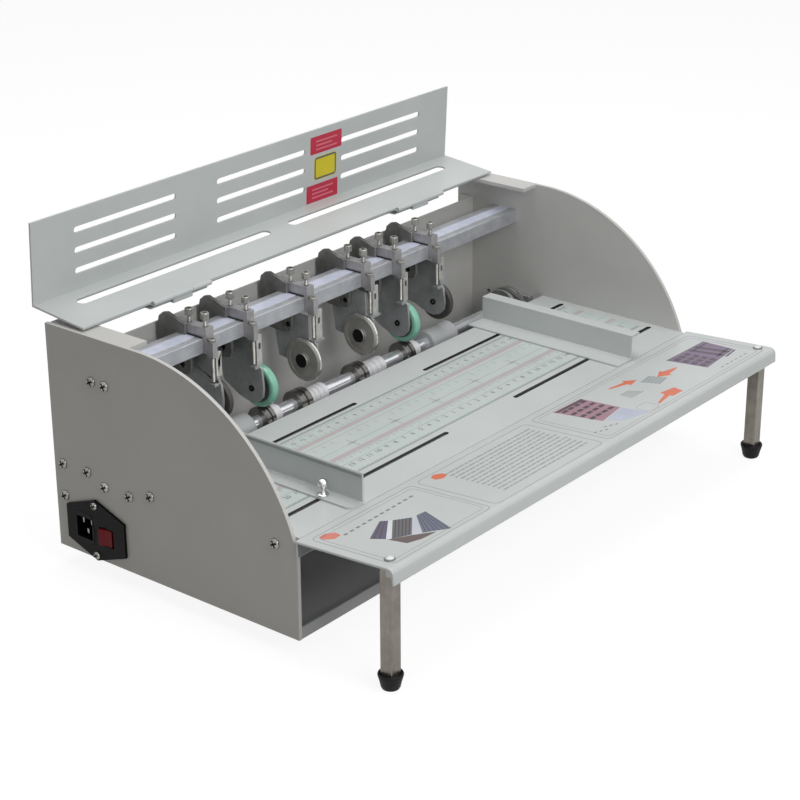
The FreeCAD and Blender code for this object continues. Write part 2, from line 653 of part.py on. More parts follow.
def bracket(tag, place_name):
    outline = [
        ("pivot_back - 7", "bar_low - slide_gap"),
        (channel_back, "bar_low - slide_gap"),
        (channel_back, channel_top),
        (f"{channel_back} - bracket_crown", channel_top),
        (f"{channel_back} - bracket_crown", f"{channel_top} + 8.4"),
        (f"{channel_back} - 4", f"{channel_top} + 9.6"),
        (f"{channel_back} + 1.5", f"{channel_top} + 11.6"),
        (f"{channel_back} + 4.4", f"{channel_top} + 12.6"),
        (f"{channel_back} + 8.4", f"{channel_top} + 13.8"),
        (f"{channel_back} + 13", f"{channel_top} + 12.8"),
        ("wall_back - 4.5", f"{channel_top} + 9"),
        ("wall_back - 2.3", channel_top),
        ("wall_back - 2", "pivot_high + 1"),
        ("wall_back - 7", "pivot_high - 5"),
        ("pivot_back + 3", "pivot_high - 6.5"),
        ("pivot_back - 7", "pivot_high - 4.5"),
        ("pivot_back - 9", "pivot_high"),
        ("pivot_back - 9", "pivot_high + 7"),
    ]
    plate = prism("bracket_plate_" + tag, "yz", outline, "-bracket_sheet", "bracket_sheet")
    eye = rod("bracket_eye_" + tag, "x", "-bracket_sheet", "pivot_back", "pivot_high", "pivot_radius / 2",
              "bracket_sheet - 1")
    pin = rod("bracket_pin_" + tag, "x", "-bracket_sheet / 2", "pivot_back", "pivot_high", "pivot_radius",
              "9.5 + bracket_sheet / 2")
    head = rod("bracket_pin_head_" + tag, "x", "8.1", "pivot_back", "pivot_high", "pivot_radius + 1.2", "1.4")
    solid = join("bracket_solid_" + tag, [plate, pin, head])
    finish(cut("bracket_cut_" + tag, solid, [eye]), "bracket_" + tag, place_name)


def station_screws(tag, place_name):
    screws = []
    for index, back in enumerate(["bar_front + 1", "bar_front + 17"]):
        shank = rod(f"cap_shank_{tag}{index}", "z", "4", back, f"{bar_top} + 0.3", "1.7", "14.2")
        head = rod(f"cap_head_{tag}{index}", "z", "4", back, f"{bar_top} + 14", "2.9", "5.2")
        socket = rod(f"cap_socket_{tag}{index}", "z", "4", back, f"{bar_top} + 16.7", "1.5", "2.5")
        screws.append(cut(f"cap_{tag}{index}", join(f"cap_solid_{tag}{index}", [shank, head]), [socket]))
    stem = rod("pressure_stem_" + tag, "z", "2.5", "pressure_back", "pivot_high - 6.5", "pressure_radius",
               f"{bar_top} - 1.5 - (pivot_high - 6.5)")
    head = rod("pressure_head_" + tag, "z", "2.5", "pressure_back", f"{bar_top} - 1.5", "3", "2.4")
    screws.append(join("pressure_" + tag, [stem, head]))
    finish(join("screws_" + tag, screws), "screws_" + tag, place_name)


# Where the tread of each plastic or rubber wheel starts, beyond its arm's plate.
wheel_starts = {"1": "8", "2": "10.5", "5": "8", "6": "8"}
wheel_kinds = ["dark", "green", "steel", "steel", "green", "dark"]


def arm(tag, place_name, axle, kind):
    steel = kind == "steel"
    plate_at = "0.5" if steel else "5.5"
    tab_top = "pivot_high - 6.5 - lift_travel"
    if steel:
        outline = [
            ("axle_back - 9", f"{tab_top} - 2"),
            ("axle_back - 3", tab_top),
            ("axle_back - 2.5", "bar_low - 4.2"),
        ]
    else:
        outline = [
            ("axle_back - 6.5", f"{axle} + 21"),
            ("axle_back - 6.2", f"{bar_top} - 11.5"),
            ("axle_back - 4.2", f"{bar_top} - 11.5"),
            ("axle_back - 3", "bar_low - 4.2"),
        ]
    outline += [
        ("pivot_back + 6", "bar_low - 4.2"),
        ("pivot_back + 12", "pivot_high + 2"),
        ("pivot_back + 12", "pivot_high - 6"),
        ("pivot_back + 8", "pivot_high - 28.5"),
    ]
    if steel:
        outline += [
            ("pivot_back - 1", f"{axle} - 5"),
            ("axle_back + 16", f"{axle} - 9.5"),
            ("axle_back + 8", f"{axle} - 12.6"),
        ]
    else:
        outline += [
            ("pivot_back - 2", f"{axle} - 5.6"),
            ("pivot_back - 8", f"{axle} - 8.6"),
            ("axle_back + 6", f"{axle} - 10.8"),
        ]
    outline += [
        ("axle_back", f"{axle} - 11.6"),
        ("axle_back - 6.5", f"{axle} - 9.6"),
        ("axle_back - 11", f"{axle} - 5.1"),
        ("axle_back - 12", f"{axle} + 1.9"),
        ("axle_back - 10.5", f"{tab_top} - 2.4"),
    ]
    plate = prism("arm_plate_" + tag, "yz", outline, plate_at, "arm_sheet")
    strip_low = f"({tab_top} - 2)" if steel else f"({axle} + 19.8)"
    flange_at = "axle_back - 6.2"
    flange = box("arm_flange_" + tag, "5.5", flange_at, strip_low, "7" if steel else "6", "2",
                 f"{bar_top} - 11.5 - {strip_low}")
    window = box("arm_window_" + tag, "7.7", f"{flange_at} - 1", f"{bar_top} - 23", "2.4", "4", "5")
    if steel:
        tab = box("arm_tab_" + tag, "0.5", "axle_back - 9", f"{tab_top} - 2", "11.5", "6", "2")
        axle_rod = rod("arm_axle_" + tag, "x", "-steel_wheel_width - 1.2", "axle_back", axle, "axle_radius",
                       "steel_wheel_width + 1.7")
        cap = rod("arm_axle_cap_" + tag, "x", "-steel_wheel_width - 1.9", "axle_back", axle,
                  "axle_radius + 2", "1.2")
    else:
        tab = box("arm_tab_" + tag, "0.5", "axle_back - 9", f"{tab_top} - 2", "6", "6", "2")
        wheel_end = f"({wheel_starts[tag]} + {kind}_wheel_width)"
        axle_rod = rod("arm_axle_" + tag, "x", "7", "axle_back", axle, "axle_radius", f"{wheel_end} - 5")
        cap = rod("arm_axle_cap_" + tag, "x", f"{wheel_end} + 0.7", "axle_back", axle, "axle_radius + 2",
                  "1.8")
    eye = rod("arm_eye_" + tag, "x", "-1", "pivot_back", "pivot_high", "pivot_radius + running_gap", "9")
    solid = join("arm_solid_" + tag, [plate, flange, tab, axle_rod, cap])
    finish(cut("arm_cut_" + tag, solid, [eye, window]), "arm_" + tag, place_name)


def wheel(tag, place_name, axle, kind):
    if kind == "steel":
        start = "-steel_wheel_width - 0.3"
        width = "steel_wheel_width"
        rim = rod("wheel_rim_" + tag, "x", start, "axle_back", axle, "steel_wheel_radius - 1.2", width)
        edge = rod("wheel_edge_" + tag, "x", f"{start} + 1", "axle_back", axle, "steel_wheel_radius",
                   "steel_wheel_width - 2")
        solid = join("wheel_solid_" + tag, [rim, edge])
        dish = rod("wheel_dish_" + tag, "x", f"{start} - 1", "axle_back", axle, "steel_wheel_radius - 4.5",
                   "1.5")
        hollows = [dish]
    else:
        start = wheel_starts[tag]
        width = kind + "_wheel_width"
        solid = rod("wheel_tread_" + tag, "x", start, "axle_back", axle, kind + "_wheel_radius", width)
        outer_dish = rod("wheel_dish_" + tag, "x", f"{start} + {width} - 1", "axle_back", axle,
                         kind + "_wheel_radius - 6", "2")
        hollows = [outer_dish]
    hollows.append(rod("wheel_bore_" + tag, "x", f"{start} - 1", "axle_back", axle,
                       "axle_radius + running_gap",
                       f"{width} + 2"))
    finish(cut("wheel_cut_" + tag, solid, hollows), "wheel_" + tag, place_name)


for number in range(6):
    tag = str(number + 1)
    letter = "abcdef"[number]
    clamp_block(tag, "station_place_" + letter)
    bracket(tag, "station_place_" + letter)
    station_screws(tag, "station_place_" + letter)
    arm(tag, "station_place_" + letter, "station_axle_" + letter, wheel_kinds[number])
    wheel(tag, "station_place_" + letter, "station_axle_" + letter, wheel_kinds[number])

# Side fences: angle sheets that slide along the table slots, each with two thumb screws
# through the slots and a nut under the table. The right one has its screws on two lugs
# on its outer side, below its folded top.
fence_floor = "table_top + running_gap"


def fence(side, screw_from_wall):
    flange = box(side + "_fence_flange_plate", f"{side}_fence_wall - {side}_fence_flange", "0.5", fence_floor,
                 f"{side}_fence_flange + fence_sheet", "fence_length", "fence_sheet")
    upright = box(side + "_fence_upright", f"{side}_fence_wall", "0.5", fence_floor, "fence_sheet",
                  "fence_length", f"{side}_fence_height")
    solids = [flange, upright]
    if side == "right":
        solids.append(box("right_fence_top", "right_fence_wall", "0.5",
                          f"{fence_floor} + right_fence_height - fence_sheet", "fence_return + fence_sheet",
                          "fence_length", "fence_sheet"))
        for where in ("front", "rear"):
            solids.append(box("right_fence_lug_" + where, "right_fence_wall", where + "_slot_back - 8",
                              fence_floor, "fence_lug", "16", "fence_sheet"))
    holes = []
    screws = []
    for where in ("front", "rear"):
        at = f"{side}_fence_wall {screw_from_wall}"
        holes.append(rod(f"{side}_fence_hole_{where}", "z", at, where + "_slot_back", "table_top",
                         "fence_screw_radius", "4"))
        stem = rod(f"{side}_fence_stem_{where}", "z", at, where + "_slot_back", f"{table_low} - 2.3",
                   "fence_screw_radius", "8")
        nut = rod(f"{side}_fence_nut_{where}", "z", at, where + "_slot_back", f"{table_low} - 2.3",
                  "4", "2.2")
        head = rod(f"{side}_fence_head_{where}", "z", at, where + "_slot_back",
                   f"{fence_floor} + fence_sheet", "thumb_radius", "thumb_height")
        screws += [stem, nut, head]
    finish(cut(side + "_fence_cut", join(side + "_fence_body", solids), holes), side + "_fence")
    finish(join(side + "_fence_screw_set", screws), side + "_fence_screws")


fence("left", "- 8.2")
fence("right", "+ 9.5")

# Mains inlet with a six-sided plate on the left panel, its socket and its rocker switch.
hexagon = [
    ("inlet_back - inlet_length / 2", "inlet_high - inlet_side_height / 2"),
    ("inlet_back", "inlet_high - inlet_height / 2"),
    ("inlet_back + inlet_length / 2", "inlet_high - inlet_side_height / 2"),
    ("inlet_back + inlet_length / 2", "inlet_high + inlet_side_height / 2"),
    ("inlet_back", "inlet_high + inlet_height / 2"),
    ("inlet_back - inlet_length / 2", "inlet_high + inlet_side_height / 2"),
]
plate = prism("inlet_plate_solid", "yz", hexagon, "-inlet_plate", "inlet_plate")
case = box("inlet_case", "-0.5", "inlet_back - 25", "inlet_high - 12", "26", "50", "22")
socket = box("inlet_socket", "-inlet_plate", "socket_back - 8", "socket_high - 8", "17", "16", "17")
window = box("inlet_window", "-inlet_plate", "rocker_back - rocker_window / 2",
             "rocker_high - rocker_window / 2", "14", "rocker_window", "rocker_window")
prongs = []
for index, (back, high) in enumerate([("-4.5", "4"), ("4.5", "4"), ("0", "-4")]):
    prongs.append(box("prong" + str(index), "1", f"socket_back + {back} - 1",
                      f"socket_high + {high} - 2 + 0.5",
                      "14.5", "2", "4"))
inlet_holes = []
for step in ("-20", "+20"):
    inlet_holes.append(rod("inlet_plate_hole" + str(len(inlet_holes)), "x", "-inlet_plate", "inlet_back",
                           f"inlet_high {step}", "panel_screw_radius", "inlet_plate"))
pivot_holes = rod("rocker_pivot_holes", "z", "2.5", "rocker_back", "rocker_high - rocker_window / 2 - 1.3",
                  "1.5 + running_gap", "rocker_window + 2.6")
inlet_shell = cut("inlet_shell", join("inlet_solid", [plate, case]), [socket, window,
                                                                      pivot_holes] + inlet_holes)
finish(join("inlet", [inlet_shell] + prongs), "power_inlet")
key = prism("rocker_key", "xy", [
    ("-2.4", "rocker_back - 5.6"),
    ("-2.6", "rocker_back - 0.5"),
    ("-5", "rocker_back + 5.6"),
    ("3", "rocker_back + 4.6"),
    ("7", "rocker_back + 3"),
    ("7", "rocker_back - 3"),
    ("3", "rocker_back - 4.6"),
], "rocker_high - 6.4", "12.8")
trunnion = rod("rocker_trunnion", "z", "2.5", "rocker_back", "rocker_high - rocker_window / 2 - 1.2", "1.5",
               "rocker_window + 2.4")
finish(join("rocker", [key, trunnion]), "rocker_switch")

# Screws in the side panels, the inlet plate and the corners of the leaf.
case_screws = []


def side_screw(name, face, outward, back, high, through):
    shank_start = face if outward < 0 else f"{face} - {through}"
    shank = rod(name + "_shank", "x", shank_start, back, high, "panel_screw_radius", through)
    if outward < 0:
        rim = rod(name + "_rim", "x", f"{face} - 1", back, high, "panel_screw_head", "1")
        dome = taper(name + "_dome", "x", f"{face} - 2.2", back, high, "panel_screw_head - 1.6",
                     "panel_screw_head",
                     "1.2")
    else:
        rim = rod(name + "_rim", "x", face, back, high, "panel_screw_head", "1")
        dome = taper(name + "_dome", "x", f"{face} + 1", back, high, "panel_screw_head",
                     "panel_screw_head - 1.6",
                     "1.2")
    return join(name, [shank, rim, dome])


for index, (back, high) in enumerate(screw_places):
    case_screws.append(side_screw("left_screw" + str(index), "0", -1, back, high, "panel_thickness"))
    case_screws.append(side_screw("right_screw" + str(index), "body_width", 1, back, high, "panel_thickness"))
for index, step in enumerate(("-20", "+20")):
    case_screws.append(side_screw("inlet_screw" + str(index), "-inlet_plate", -1, "inlet_back",
                                  f"inlet_high {step}",
                                  "inlet_plate + panel_thickness"))
leaf_screws = doc.addObject("Part::Compound", "leaf_screws")
leaf_screws.Links = [
    rod("leaf_screw_left", "z", "leg_inset", "-leg_front", "0", "panel_screw_head", "1.6"),
    rod("leaf_screw_right", "z", "body_width - leg_inset + 4", "-leg_front", "0", "panel_screw_head", "1.6"),
]
leaf_screws.Placement = FreeCAD.Placement(FreeCAD.Vector(), FreeCAD.Rotation(FreeCAD.Vector(1, 0, 0), 10))
bind(leaf_screws, {"Placement.Rotation.Angle": "-leaf_tilt"})
place(leaf_screws, "0", "0", "table_top - 0.1")
case_screws.append(leaf_screws)
finish(join("screw_set", case_screws), "case_screws")

doc.recompute()
faults = [item.Label for item in doc.Objects if "Invalid" in item.State or "Error" in item.State]
for part in finished:
    if part.Shape.isNull() or not part.Shape.isValid() or not part.Shape.Solids:
        faults.append(part.Label)
if faults:
    raise RuntimeError("faulty objects: " + ", ".join(faults))
os.makedirs("parts", exist_ok=True)
for part in finished:
    part.Shape.exportStep("parts/" + part.Label + ".step")
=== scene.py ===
import bpy
import bmesh
import math
from mathutils import Matrix, Vector


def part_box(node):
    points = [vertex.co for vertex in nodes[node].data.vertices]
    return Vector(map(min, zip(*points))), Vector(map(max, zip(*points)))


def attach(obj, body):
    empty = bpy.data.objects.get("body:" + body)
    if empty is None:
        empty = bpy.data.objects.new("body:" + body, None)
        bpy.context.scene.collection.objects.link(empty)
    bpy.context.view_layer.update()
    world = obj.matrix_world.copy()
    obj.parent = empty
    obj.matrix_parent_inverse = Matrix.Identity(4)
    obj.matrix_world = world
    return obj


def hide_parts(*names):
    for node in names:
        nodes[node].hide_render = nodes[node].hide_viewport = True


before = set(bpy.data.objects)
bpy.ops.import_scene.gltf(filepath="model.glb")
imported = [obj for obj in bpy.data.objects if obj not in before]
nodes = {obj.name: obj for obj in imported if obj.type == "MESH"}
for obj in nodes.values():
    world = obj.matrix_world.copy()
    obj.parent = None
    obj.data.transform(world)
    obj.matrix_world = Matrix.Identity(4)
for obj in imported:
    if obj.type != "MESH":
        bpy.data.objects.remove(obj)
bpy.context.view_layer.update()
scene = bpy.context.scene
scene.view_settings.view_transform = "Standard"

# Camera: a long lens on a 36 mm wide sensor, a little above the machine and off its left
# front corner. Two angles give the way that it looks from, and a third its slight roll.
azimuth, elevation, roll = math.radians(-51.083), math.radians(23.052), math.radians(-0.250)
stand = (-1.1741, -0.9243, 0.7259)
back = Vector((math.sin(azimuth) * math.cos(elevation), -math.cos(azimuth) * math.cos(elevation),
               math.sin(elevation)))
level = Vector((0, 0, 1)).cross(back).normalized()
across = Matrix.Rotation(roll, 3, back) @ level
lens = bpy.data.cameras.new("camera")
lens.sensor_width = 36
lens.lens = 94.36
camera = bpy.data.objects.new("camera", lens)
scene.collection.objects.link(camera)
turned = Matrix((across, back.cross(across), back)).transposed()
camera.matrix_world = Matrix.Translation(stand) @ turned.to_4x4()
scene.camera = camera


def srgb(code):
    """Colour written as sRGB hex, given as linear numbers with full alpha."""
    parts = [int(code[i:i + 2], 16) / 255 for i in (0, 2, 4)]
    return [p / 12.92 if p <= 0.04045 else ((p + 0.055) / 1.055) ** 2.4 for p in parts] + [1.0]


def add(tree, kind, settings=None, links=None, **fields):
    """One shader node with its fields, its socket values and its incoming links."""
    node = tree.nodes.new(kind)
    for name, value in fields.items():
        setattr(node, name, value)
    for name, value in (settings or {}).items():
        node.inputs[name].default_value = value
    for name, source in (links or {}).items():
        tree.links.new(source, node.inputs[name])
    return node


# Studio: an even pale surround, a large soft lamp overhead and another in front that looks
# into the working bay, so that upper faces are lightest and the left side is in soft shade.
world = bpy.data.worlds.new("surround")
scene.world = world
world.use_nodes = True
tree = world.node_tree
tree.nodes.clear()
ray = add(tree, "ShaderNodeLightPath")
seen = add(tree, "ShaderNodeMath", operation="MAXIMUM",
           links={0: ray.outputs["Is Camera Ray"], 1: ray.outputs["Is Transmission Ray"]})
shown = add(tree, "ShaderNodeMath", operation="MAXIMUM",
            links={0: seen.outputs[0], 1: ray.outputs["Is Glossy Ray"]})
strength = add(tree, "ShaderNodeMapRange", {"To Min": 0.21, "To Max": 1.0}, {"Value": shown.outputs[0]})
surround = add(tree, "ShaderNodeBackground", {"Color": srgb("ffffff")}, {"Strength": strength.outputs[0]})
add(tree, "ShaderNodeOutputWorld", links={"Surface": surround.outputs[0]})
lamps = (("overhead", (0.15, 0.1, 1.9), 1.5, 19), ("front", (-0.3, -1.05, 0.85), 0.7, 7))
for name, place, size, watts in lamps:
    data = bpy.data.lights.new(name, "AREA")
    data.size = size
    data.energy = watts
    item = bpy.data.objects.new(name, data)
    scene.collection.objects.link(item)
    item.location = place
    item.rotation_euler = Vector(place).to_track_quat("Z", "Y").to_euler()
    item.visible_camera = False


def mesh_piece(name, bm, material, body, smooth=40, replaces=()):
    """Turn a bmesh into a named piece that rides on a body, its normals out and its edges crisp."""
    mesh = bpy.data.meshes.new(name)
    bm.to_mesh(mesh)
    bm.free()
    for each in material if isinstance(material, list) else [material]:
        mesh.materials.append(each)
    mesh.polygons.foreach_set("use_smooth", [True] * len(mesh.polygons))
    mesh.set_sharp_from_angle(angle=math.radians(smooth))
    piece = bpy.data.objects.new(name, mesh)
    scene.collection.objects.link(piece)
    if body:
        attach(piece, body)
    if replaces:
        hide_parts(*replaces)
    return piece


# Floor: one pale seamless sheet, matt, that keeps the machine's soft shadow. The camera and
# reflections see it as a darker matt with a white glow added, so that it meets the surround.
paper = bpy.data.materials.new("floor_paper")
paper.use_nodes = True
tree = paper.node_tree
tree.nodes.clear()
ray = add(tree, "ShaderNodeLightPath")
matt = add(tree, "ShaderNodeBsdfDiffuse", {"Color": srgb("c4c4c4")})
veil = add(tree, "ShaderNodeBsdfDiffuse", {"Color": srgb("747474")})
glow = add(tree, "ShaderNodeEmission", {"Color": srgb("ffffff"), "Strength": 0.9})
lifted = add(tree, "ShaderNodeAddShader", links={0: veil.outputs[0], 1: glow.outputs[0]})
seen = add(tree, "ShaderNodeMath", operation="MAXIMUM",
           links={0: ray.outputs["Is Camera Ray"], 1: ray.outputs["Is Transmission Ray"]})
shown = add(tree, "ShaderNodeMath", operation="MAXIMUM",
            links={0: seen.outputs[0], 1: ray.outputs["Is Glossy Ray"]})
laid = add(tree, "ShaderNodeMixShader", links={0: shown.outputs[0], 1: matt.outputs[0], 2: lifted.outputs[0]})
add(tree, "ShaderNodeOutputMaterial", links={"Surface": laid.outputs[0]})
bm = bmesh.new()
floor_reach = 6
bmesh.ops.create_grid(bm, x_segments=1, y_segments=1, size=floor_reach)
mesh_piece("floor", bm, paper, None)

# Machine frame used below: millimetres, x from the left panel's outer face, y from the
# panels' front edge towards the back, z from their bottom edge.
corner = Vector(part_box("left_side_panel")[0])


def at(x, y, z):
    """A point of the machine frame, in metres of the scene."""
    return corner + Vector((x, y, z)) / 1000


# Side panels, base tray and rear wall: laser-cut steel sheet under a satin powder coat with
# an orange-peel skin, soft clouds of shade and a few pits, which rounds the edges over. The
# left panel's outside is drawn warmer and darker as painted shade, the rest neutral, and the
# tray darker still as painted shade.
def bare_finish(name):
    """A material with no shader yet, its node tree, and the place of each point on the piece."""
    made = bpy.data.materials.new(name)
    made.use_nodes = True
    made.node_tree.nodes.clear()
    return made, made.node_tree, add(made.node_tree, "ShaderNodeTexCoord").outputs["Object"]


def powder_coat(name, light, dark, rough):
    """Satin powder coat. The skin's cells are 0.8 mm across; the finer grain is drawn coarse to show."""
    made, tree, where = bare_finish(name)
    cloud = add(tree, "ShaderNodeTexNoise", {"Scale": 14.0, "Detail": 4.0}, {"Vector": where})
    spread = add(tree, "ShaderNodeMapRange", {"From Min": 0.35, "From Max": 0.7}, {"Value": cloud.outputs[0]})
    shade = add(tree, "ShaderNodeMix", {6: srgb(light), 7: srgb(dark)}, {0: spread.outputs[0]},
                data_type="RGBA")
    speck = add(tree, "ShaderNodeTexVoronoi", {"Scale": 900.0}, {"Vector": where})
    pit = add(tree, "ShaderNodeMapRange", {"From Min": 0.02, "From Max": 0.14, "To Min": 0.86, "To Max": 1.0},
              {"Value": speck.outputs["Distance"]})
    tinted = add(tree, "ShaderNodeMix", {0: 1.0}, {6: shade.outputs[2], 7: pit.outputs[0]},
                 data_type="RGBA", blend_type="MULTIPLY")
    skin = add(tree, "ShaderNodeTexNoise", {"Scale": 1250.0, "Detail": 2.0}, {"Vector": where})
    gloss = add(tree, "ShaderNodeMapRange", {"To Min": rough - 0.07, "To Max": rough + 0.07},
                {"Value": skin.outputs[0]})
    bump = add(tree, "ShaderNodeBump", {"Strength": 0.3, "Distance": 0.00005}, {"Height": skin.outputs[0]})
    shader = add(tree, "ShaderNodeBsdfPrincipled", {"IOR": 1.5},
                 {"Base Color": tinted.outputs[2], "Roughness": gloss.outputs[0], "Normal": bump.outputs[0]})
    add(tree, "ShaderNodeOutputMaterial", links={"Surface": shader.outputs[0]})
    return made


def keep(names, material, edge, angle=30, second=None, rim=False, where=None):
    """CAD nodes that stay: welded, flat faces joined, edges rounded and evenly shaded.

    A second material goes on the rounded edges (rim) and on the faces that where() picks.
    """
    for name in names:
        item = nodes[name]
        item.data.materials.clear()
        for each in (material, second) if second else (material,):
            item.data.materials.append(each)
        item.data.polygons.foreach_set("use_smooth", [True] * len(item.data.polygons))
        for face in item.data.polygons if where else ():
            middle = (face.center - corner) * 1000
            face.material_index = 1 if where(middle, face.normal) else 0
        weld = item.modifiers.new("weld", "WELD")
        weld.merge_threshold = 0.000002
        flat = item.modifiers.new("flat", "DECIMATE")
        flat.decimate_type = "DISSOLVE"
        flat.angle_limit = math.radians(0.5)
        flat.delimit = {"NORMAL", "MATERIAL"}
        rounded = item.modifiers.new("rounded", "BEVEL")
        rounded.width = edge / 1000
        rounded.segments = 2
        rounded.limit_method = "ANGLE"
        rounded.angle_limit = math.radians(angle)
        rounded.material = 1 if rim else -1
        even = item.modifiers.new("even", "WEIGHTED_NORMAL")
        even.weight = 100


outer_face_shade_coat = powder_coat("powder_coat_painted_shade_warm_grey", "b8b6b0", "b1afa9", 0.42)
inner_coat = powder_coat("powder_coat_neutral_grey", "cccbc8", "c5c4c1", 0.42)
tray_shade_coat = powder_coat("powder_coat_painted_shade_grey", "a3a4a3", "989998", 0.45)
# The left panel's outer face takes the darker, warmer copy of the coat as painted shade; its other faces and
# its rounded edges take the neutral coat.
keep(("left_side_panel",), outer_face_shade_coat, 1.0, second=inner_coat, rim=True,
     where=lambda middle, normal: normal.x > -0.5)
keep(("right_side_panel",), inner_coat, 1.0)
keep(("rear_wall",), inner_coat, 0.5)
# The tray's coat is drawn darker as painted shade of the cavity under the leaf.
keep(("base_tray",), tray_shade_coat, 0.5)


# Case screws: pan-head machine screws, nickel-plated, with a cross recess driven into the
# dome. Nine hold each side panel, two the inlet.
def lathe(profile, axis, centre, steps=40, closed=False):
    """Solid of revolution. The profile is (along the axis, radius) in mm, from the first end to the last."""
    bm = bmesh.new()
    points = [bm.verts.new((along / 1000, radius / 1000, 0)) for along, radius in profile]
    edges = [bm.edges.new(pair) for pair in zip(points, points[1:])]
    if closed:
        edges.append(bm.edges.new((points[-1], points[0])))
    bmesh.ops.spin(bm, geom=points + edges, cent=(0, 0, 0), axis=(1, 0, 0), angle=2 * math.pi, steps=steps,
                   use_merge=True)
    bmesh.ops.remove_doubles(bm, verts=bm.verts, dist=1e-6)
    bmesh.ops.recalc_face_normals(bm, faces=bm.faces)
    facing = {"x": Matrix(), "z": Matrix.Rotation(-math.pi / 2, 4, "Y")}[axis]
    bmesh.ops.transform(bm, matrix=Matrix.Translation(centre) @ facing, verts=bm.verts)
    return bm


def block(low, high, round_edge):
    """Rectangular solid between two corners in mm of the machine frame, with its edges rounded."""
    bm = bmesh.new()
    size = [(b - a) / 1000 for a, b in zip(low, high)]
    middle = at(*[(a + b) / 2 for a, b in zip(low, high)])
    bmesh.ops.create_cube(bm, size=1, matrix=Matrix.Translation(middle) @ Matrix.Diagonal(size + [1]))
    bmesh.ops.bevel(bm, geom=bm.edges, offset=round_edge / 1000, segments=2, profile=0.5,
                    affect="EDGES", material=-1)
    return bm


def merge(parts):
    """Several bmeshes in one; each keeps its own closed shells."""
    whole = bmesh.new()
    holder = bpy.data.meshes.new("holder")
    for bm in parts:
        bm.to_mesh(holder)
        bm.free()
        whole.from_mesh(holder)
    bpy.data.meshes.remove(holder)
    return whole


def metal(name, light, dark, rough, grain=(1, 1, 1), lines=700.0, depth=0.00002, metallic=1.0):
    """Metal with drawn, turned or tumbled grain.

    The grain's lines are 0.6 to 4 mm apart, far coarser than the real ones, so that they show.
    """
    made, tree, where = bare_finish(name)
    drawn = add(tree, "ShaderNodeMapping", {"Scale": grain}, {"Vector": where})
    streak = add(tree, "ShaderNodeTexNoise", {"Scale": lines, "Detail": 4.0, "Roughness": 0.65},
                 {"Vector": drawn.outputs[0]})
    cloud = add(tree, "ShaderNodeTexNoise", {"Scale": 120.0, "Detail": 2.0}, {"Vector": where})
    mixed = add(tree, "ShaderNodeMath", links={0: streak.outputs[0], 1: cloud.outputs[0]}, operation="ADD")
    half = add(tree, "ShaderNodeMapRange", {"From Min": 0.7, "From Max": 1.3}, {"Value": mixed.outputs[0]})
    tone = add(tree, "ShaderNodeMix", {6: srgb(dark), 7: srgb(light)}, {0: half.outputs[0]}, data_type="RGBA")
    gloss = add(tree, "ShaderNodeMapRange", {"To Min": rough * 0.7, "To Max": rough * 1.3},
                {"Value": streak.outputs[0]})
    bump = add(tree, "ShaderNodeBump", {"Strength": 0.35, "Distance": depth}, {"Height": streak.outputs[0]})
    shader = add(tree, "ShaderNodeBsdfPrincipled", {"Metallic": metallic},
                 {"Base Color": tone.outputs[2], "Roughness": gloss.outputs[0], "Normal": bump.outputs[0]})
    add(tree, "ShaderNodeOutputMaterial", links={"Surface": shader.outputs[0]})
    return made


nickel = metal("nickel_plate", "a19f9b", "7d7b77", 0.26)
recess = metal("recess_in_shadow", "3a3937", "262523", 0.5, metallic=0.5)


def pan_head(axis, centre, radius=4.0):
    """Domed head. The cross is sunk by pulling four arms of the crown's quads inwards; its walls are dark."""
    dome = [(0, 0.05), (0, radius), (0.5, radius), (1.2, radius * 0.92), (1.75, radius * 0.72),
            (1.95, radius * 0.6), (2.1, radius * 0.42), (2.2, radius * 0.22), (2.2, 0.0)]
    cross_reach, arm_half, sunk, turn = radius * 0.65, radius * 0.14, 0.0014, 0.5
    bm = lathe(dome, "x", Vector((0, 0, 0)), steps=32)
    for vert in bm.verts:
        out = math.hypot(vert.co.y, vert.co.z) * 1000
        near_arm = min(abs(vert.co.y), abs(vert.co.z)) * 1000 < arm_half
        if vert.co.x > 0.001 and out < cross_reach and near_arm:
            vert.co.x -= sunk
    for face in bm.faces:
        nearest = min(math.hypot(vert.co.y, vert.co.z) for vert in face.verts) * 1000
        low = 0.0005 < face.calc_center_median().x < 0.0016
        face.material_index = 1 if low and nearest < cross_reach else 0
    facing = {"x": Matrix(), "-x": Matrix.Rotation(math.pi, 4, "Z")}[axis]
    bmesh.ops.transform(bm, matrix=Matrix.Translation(centre) @ facing @ Matrix.Rotation(turn, 4, "X"),
                        verts=bm.verts)
    return bm


width = (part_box("right_side_panel")[1][0] - corner.x) * 1000
screw_places = ((178.8, 141.85), (192.2, 141.85), (228, 68.2), (228, 42.5), (202.5, 68.6), (185, 61.3),
                (160, 61.3), (138.6, 67.6), (19.9, 68.2))
inlet_back, inlet_high, inlet_plate, inlet_pitch, inlet_head = 195.4, 24.0, 2.0, 40, 3.0
heads = []
for y, z in screw_places:
    heads.append(pan_head("-x", at(0, y, z)))
    heads.append(pan_head("x", at(width, y, z)))
for step in (-inlet_pitch / 2, inlet_pitch / 2):
    heads.append(pan_head("-x", at(-inlet_plate, inlet_back, inlet_high + step), inlet_head))
mesh_piece("case_screw_heads", merge(heads), [nickel, recess], "frame", 35, ["case_screws"])

# Feed table, fences, front leaf and cover: thinner folded sheet in a cooler, paler satin
# powder coat; the hinge strip under the flanges and the hinges have the same coat. The
# walls of the table's slots and the leaf's rear lip are drawn dark as painted shade.
sheet_coat = powder_coat("powder_coat_pale_grey", "c9cdcc", "c2c7c6", 0.38)
slot_wall_shade = metal("slot_wall_painted_shade", "3c3f40", "2a2c2d", 0.5, metallic=0.4)
table_top = (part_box("feed_table")[1][2] - corner.z) * 1000
slot_bands, slot_depth = ((26, 32.5), (115, 122)), 2.1


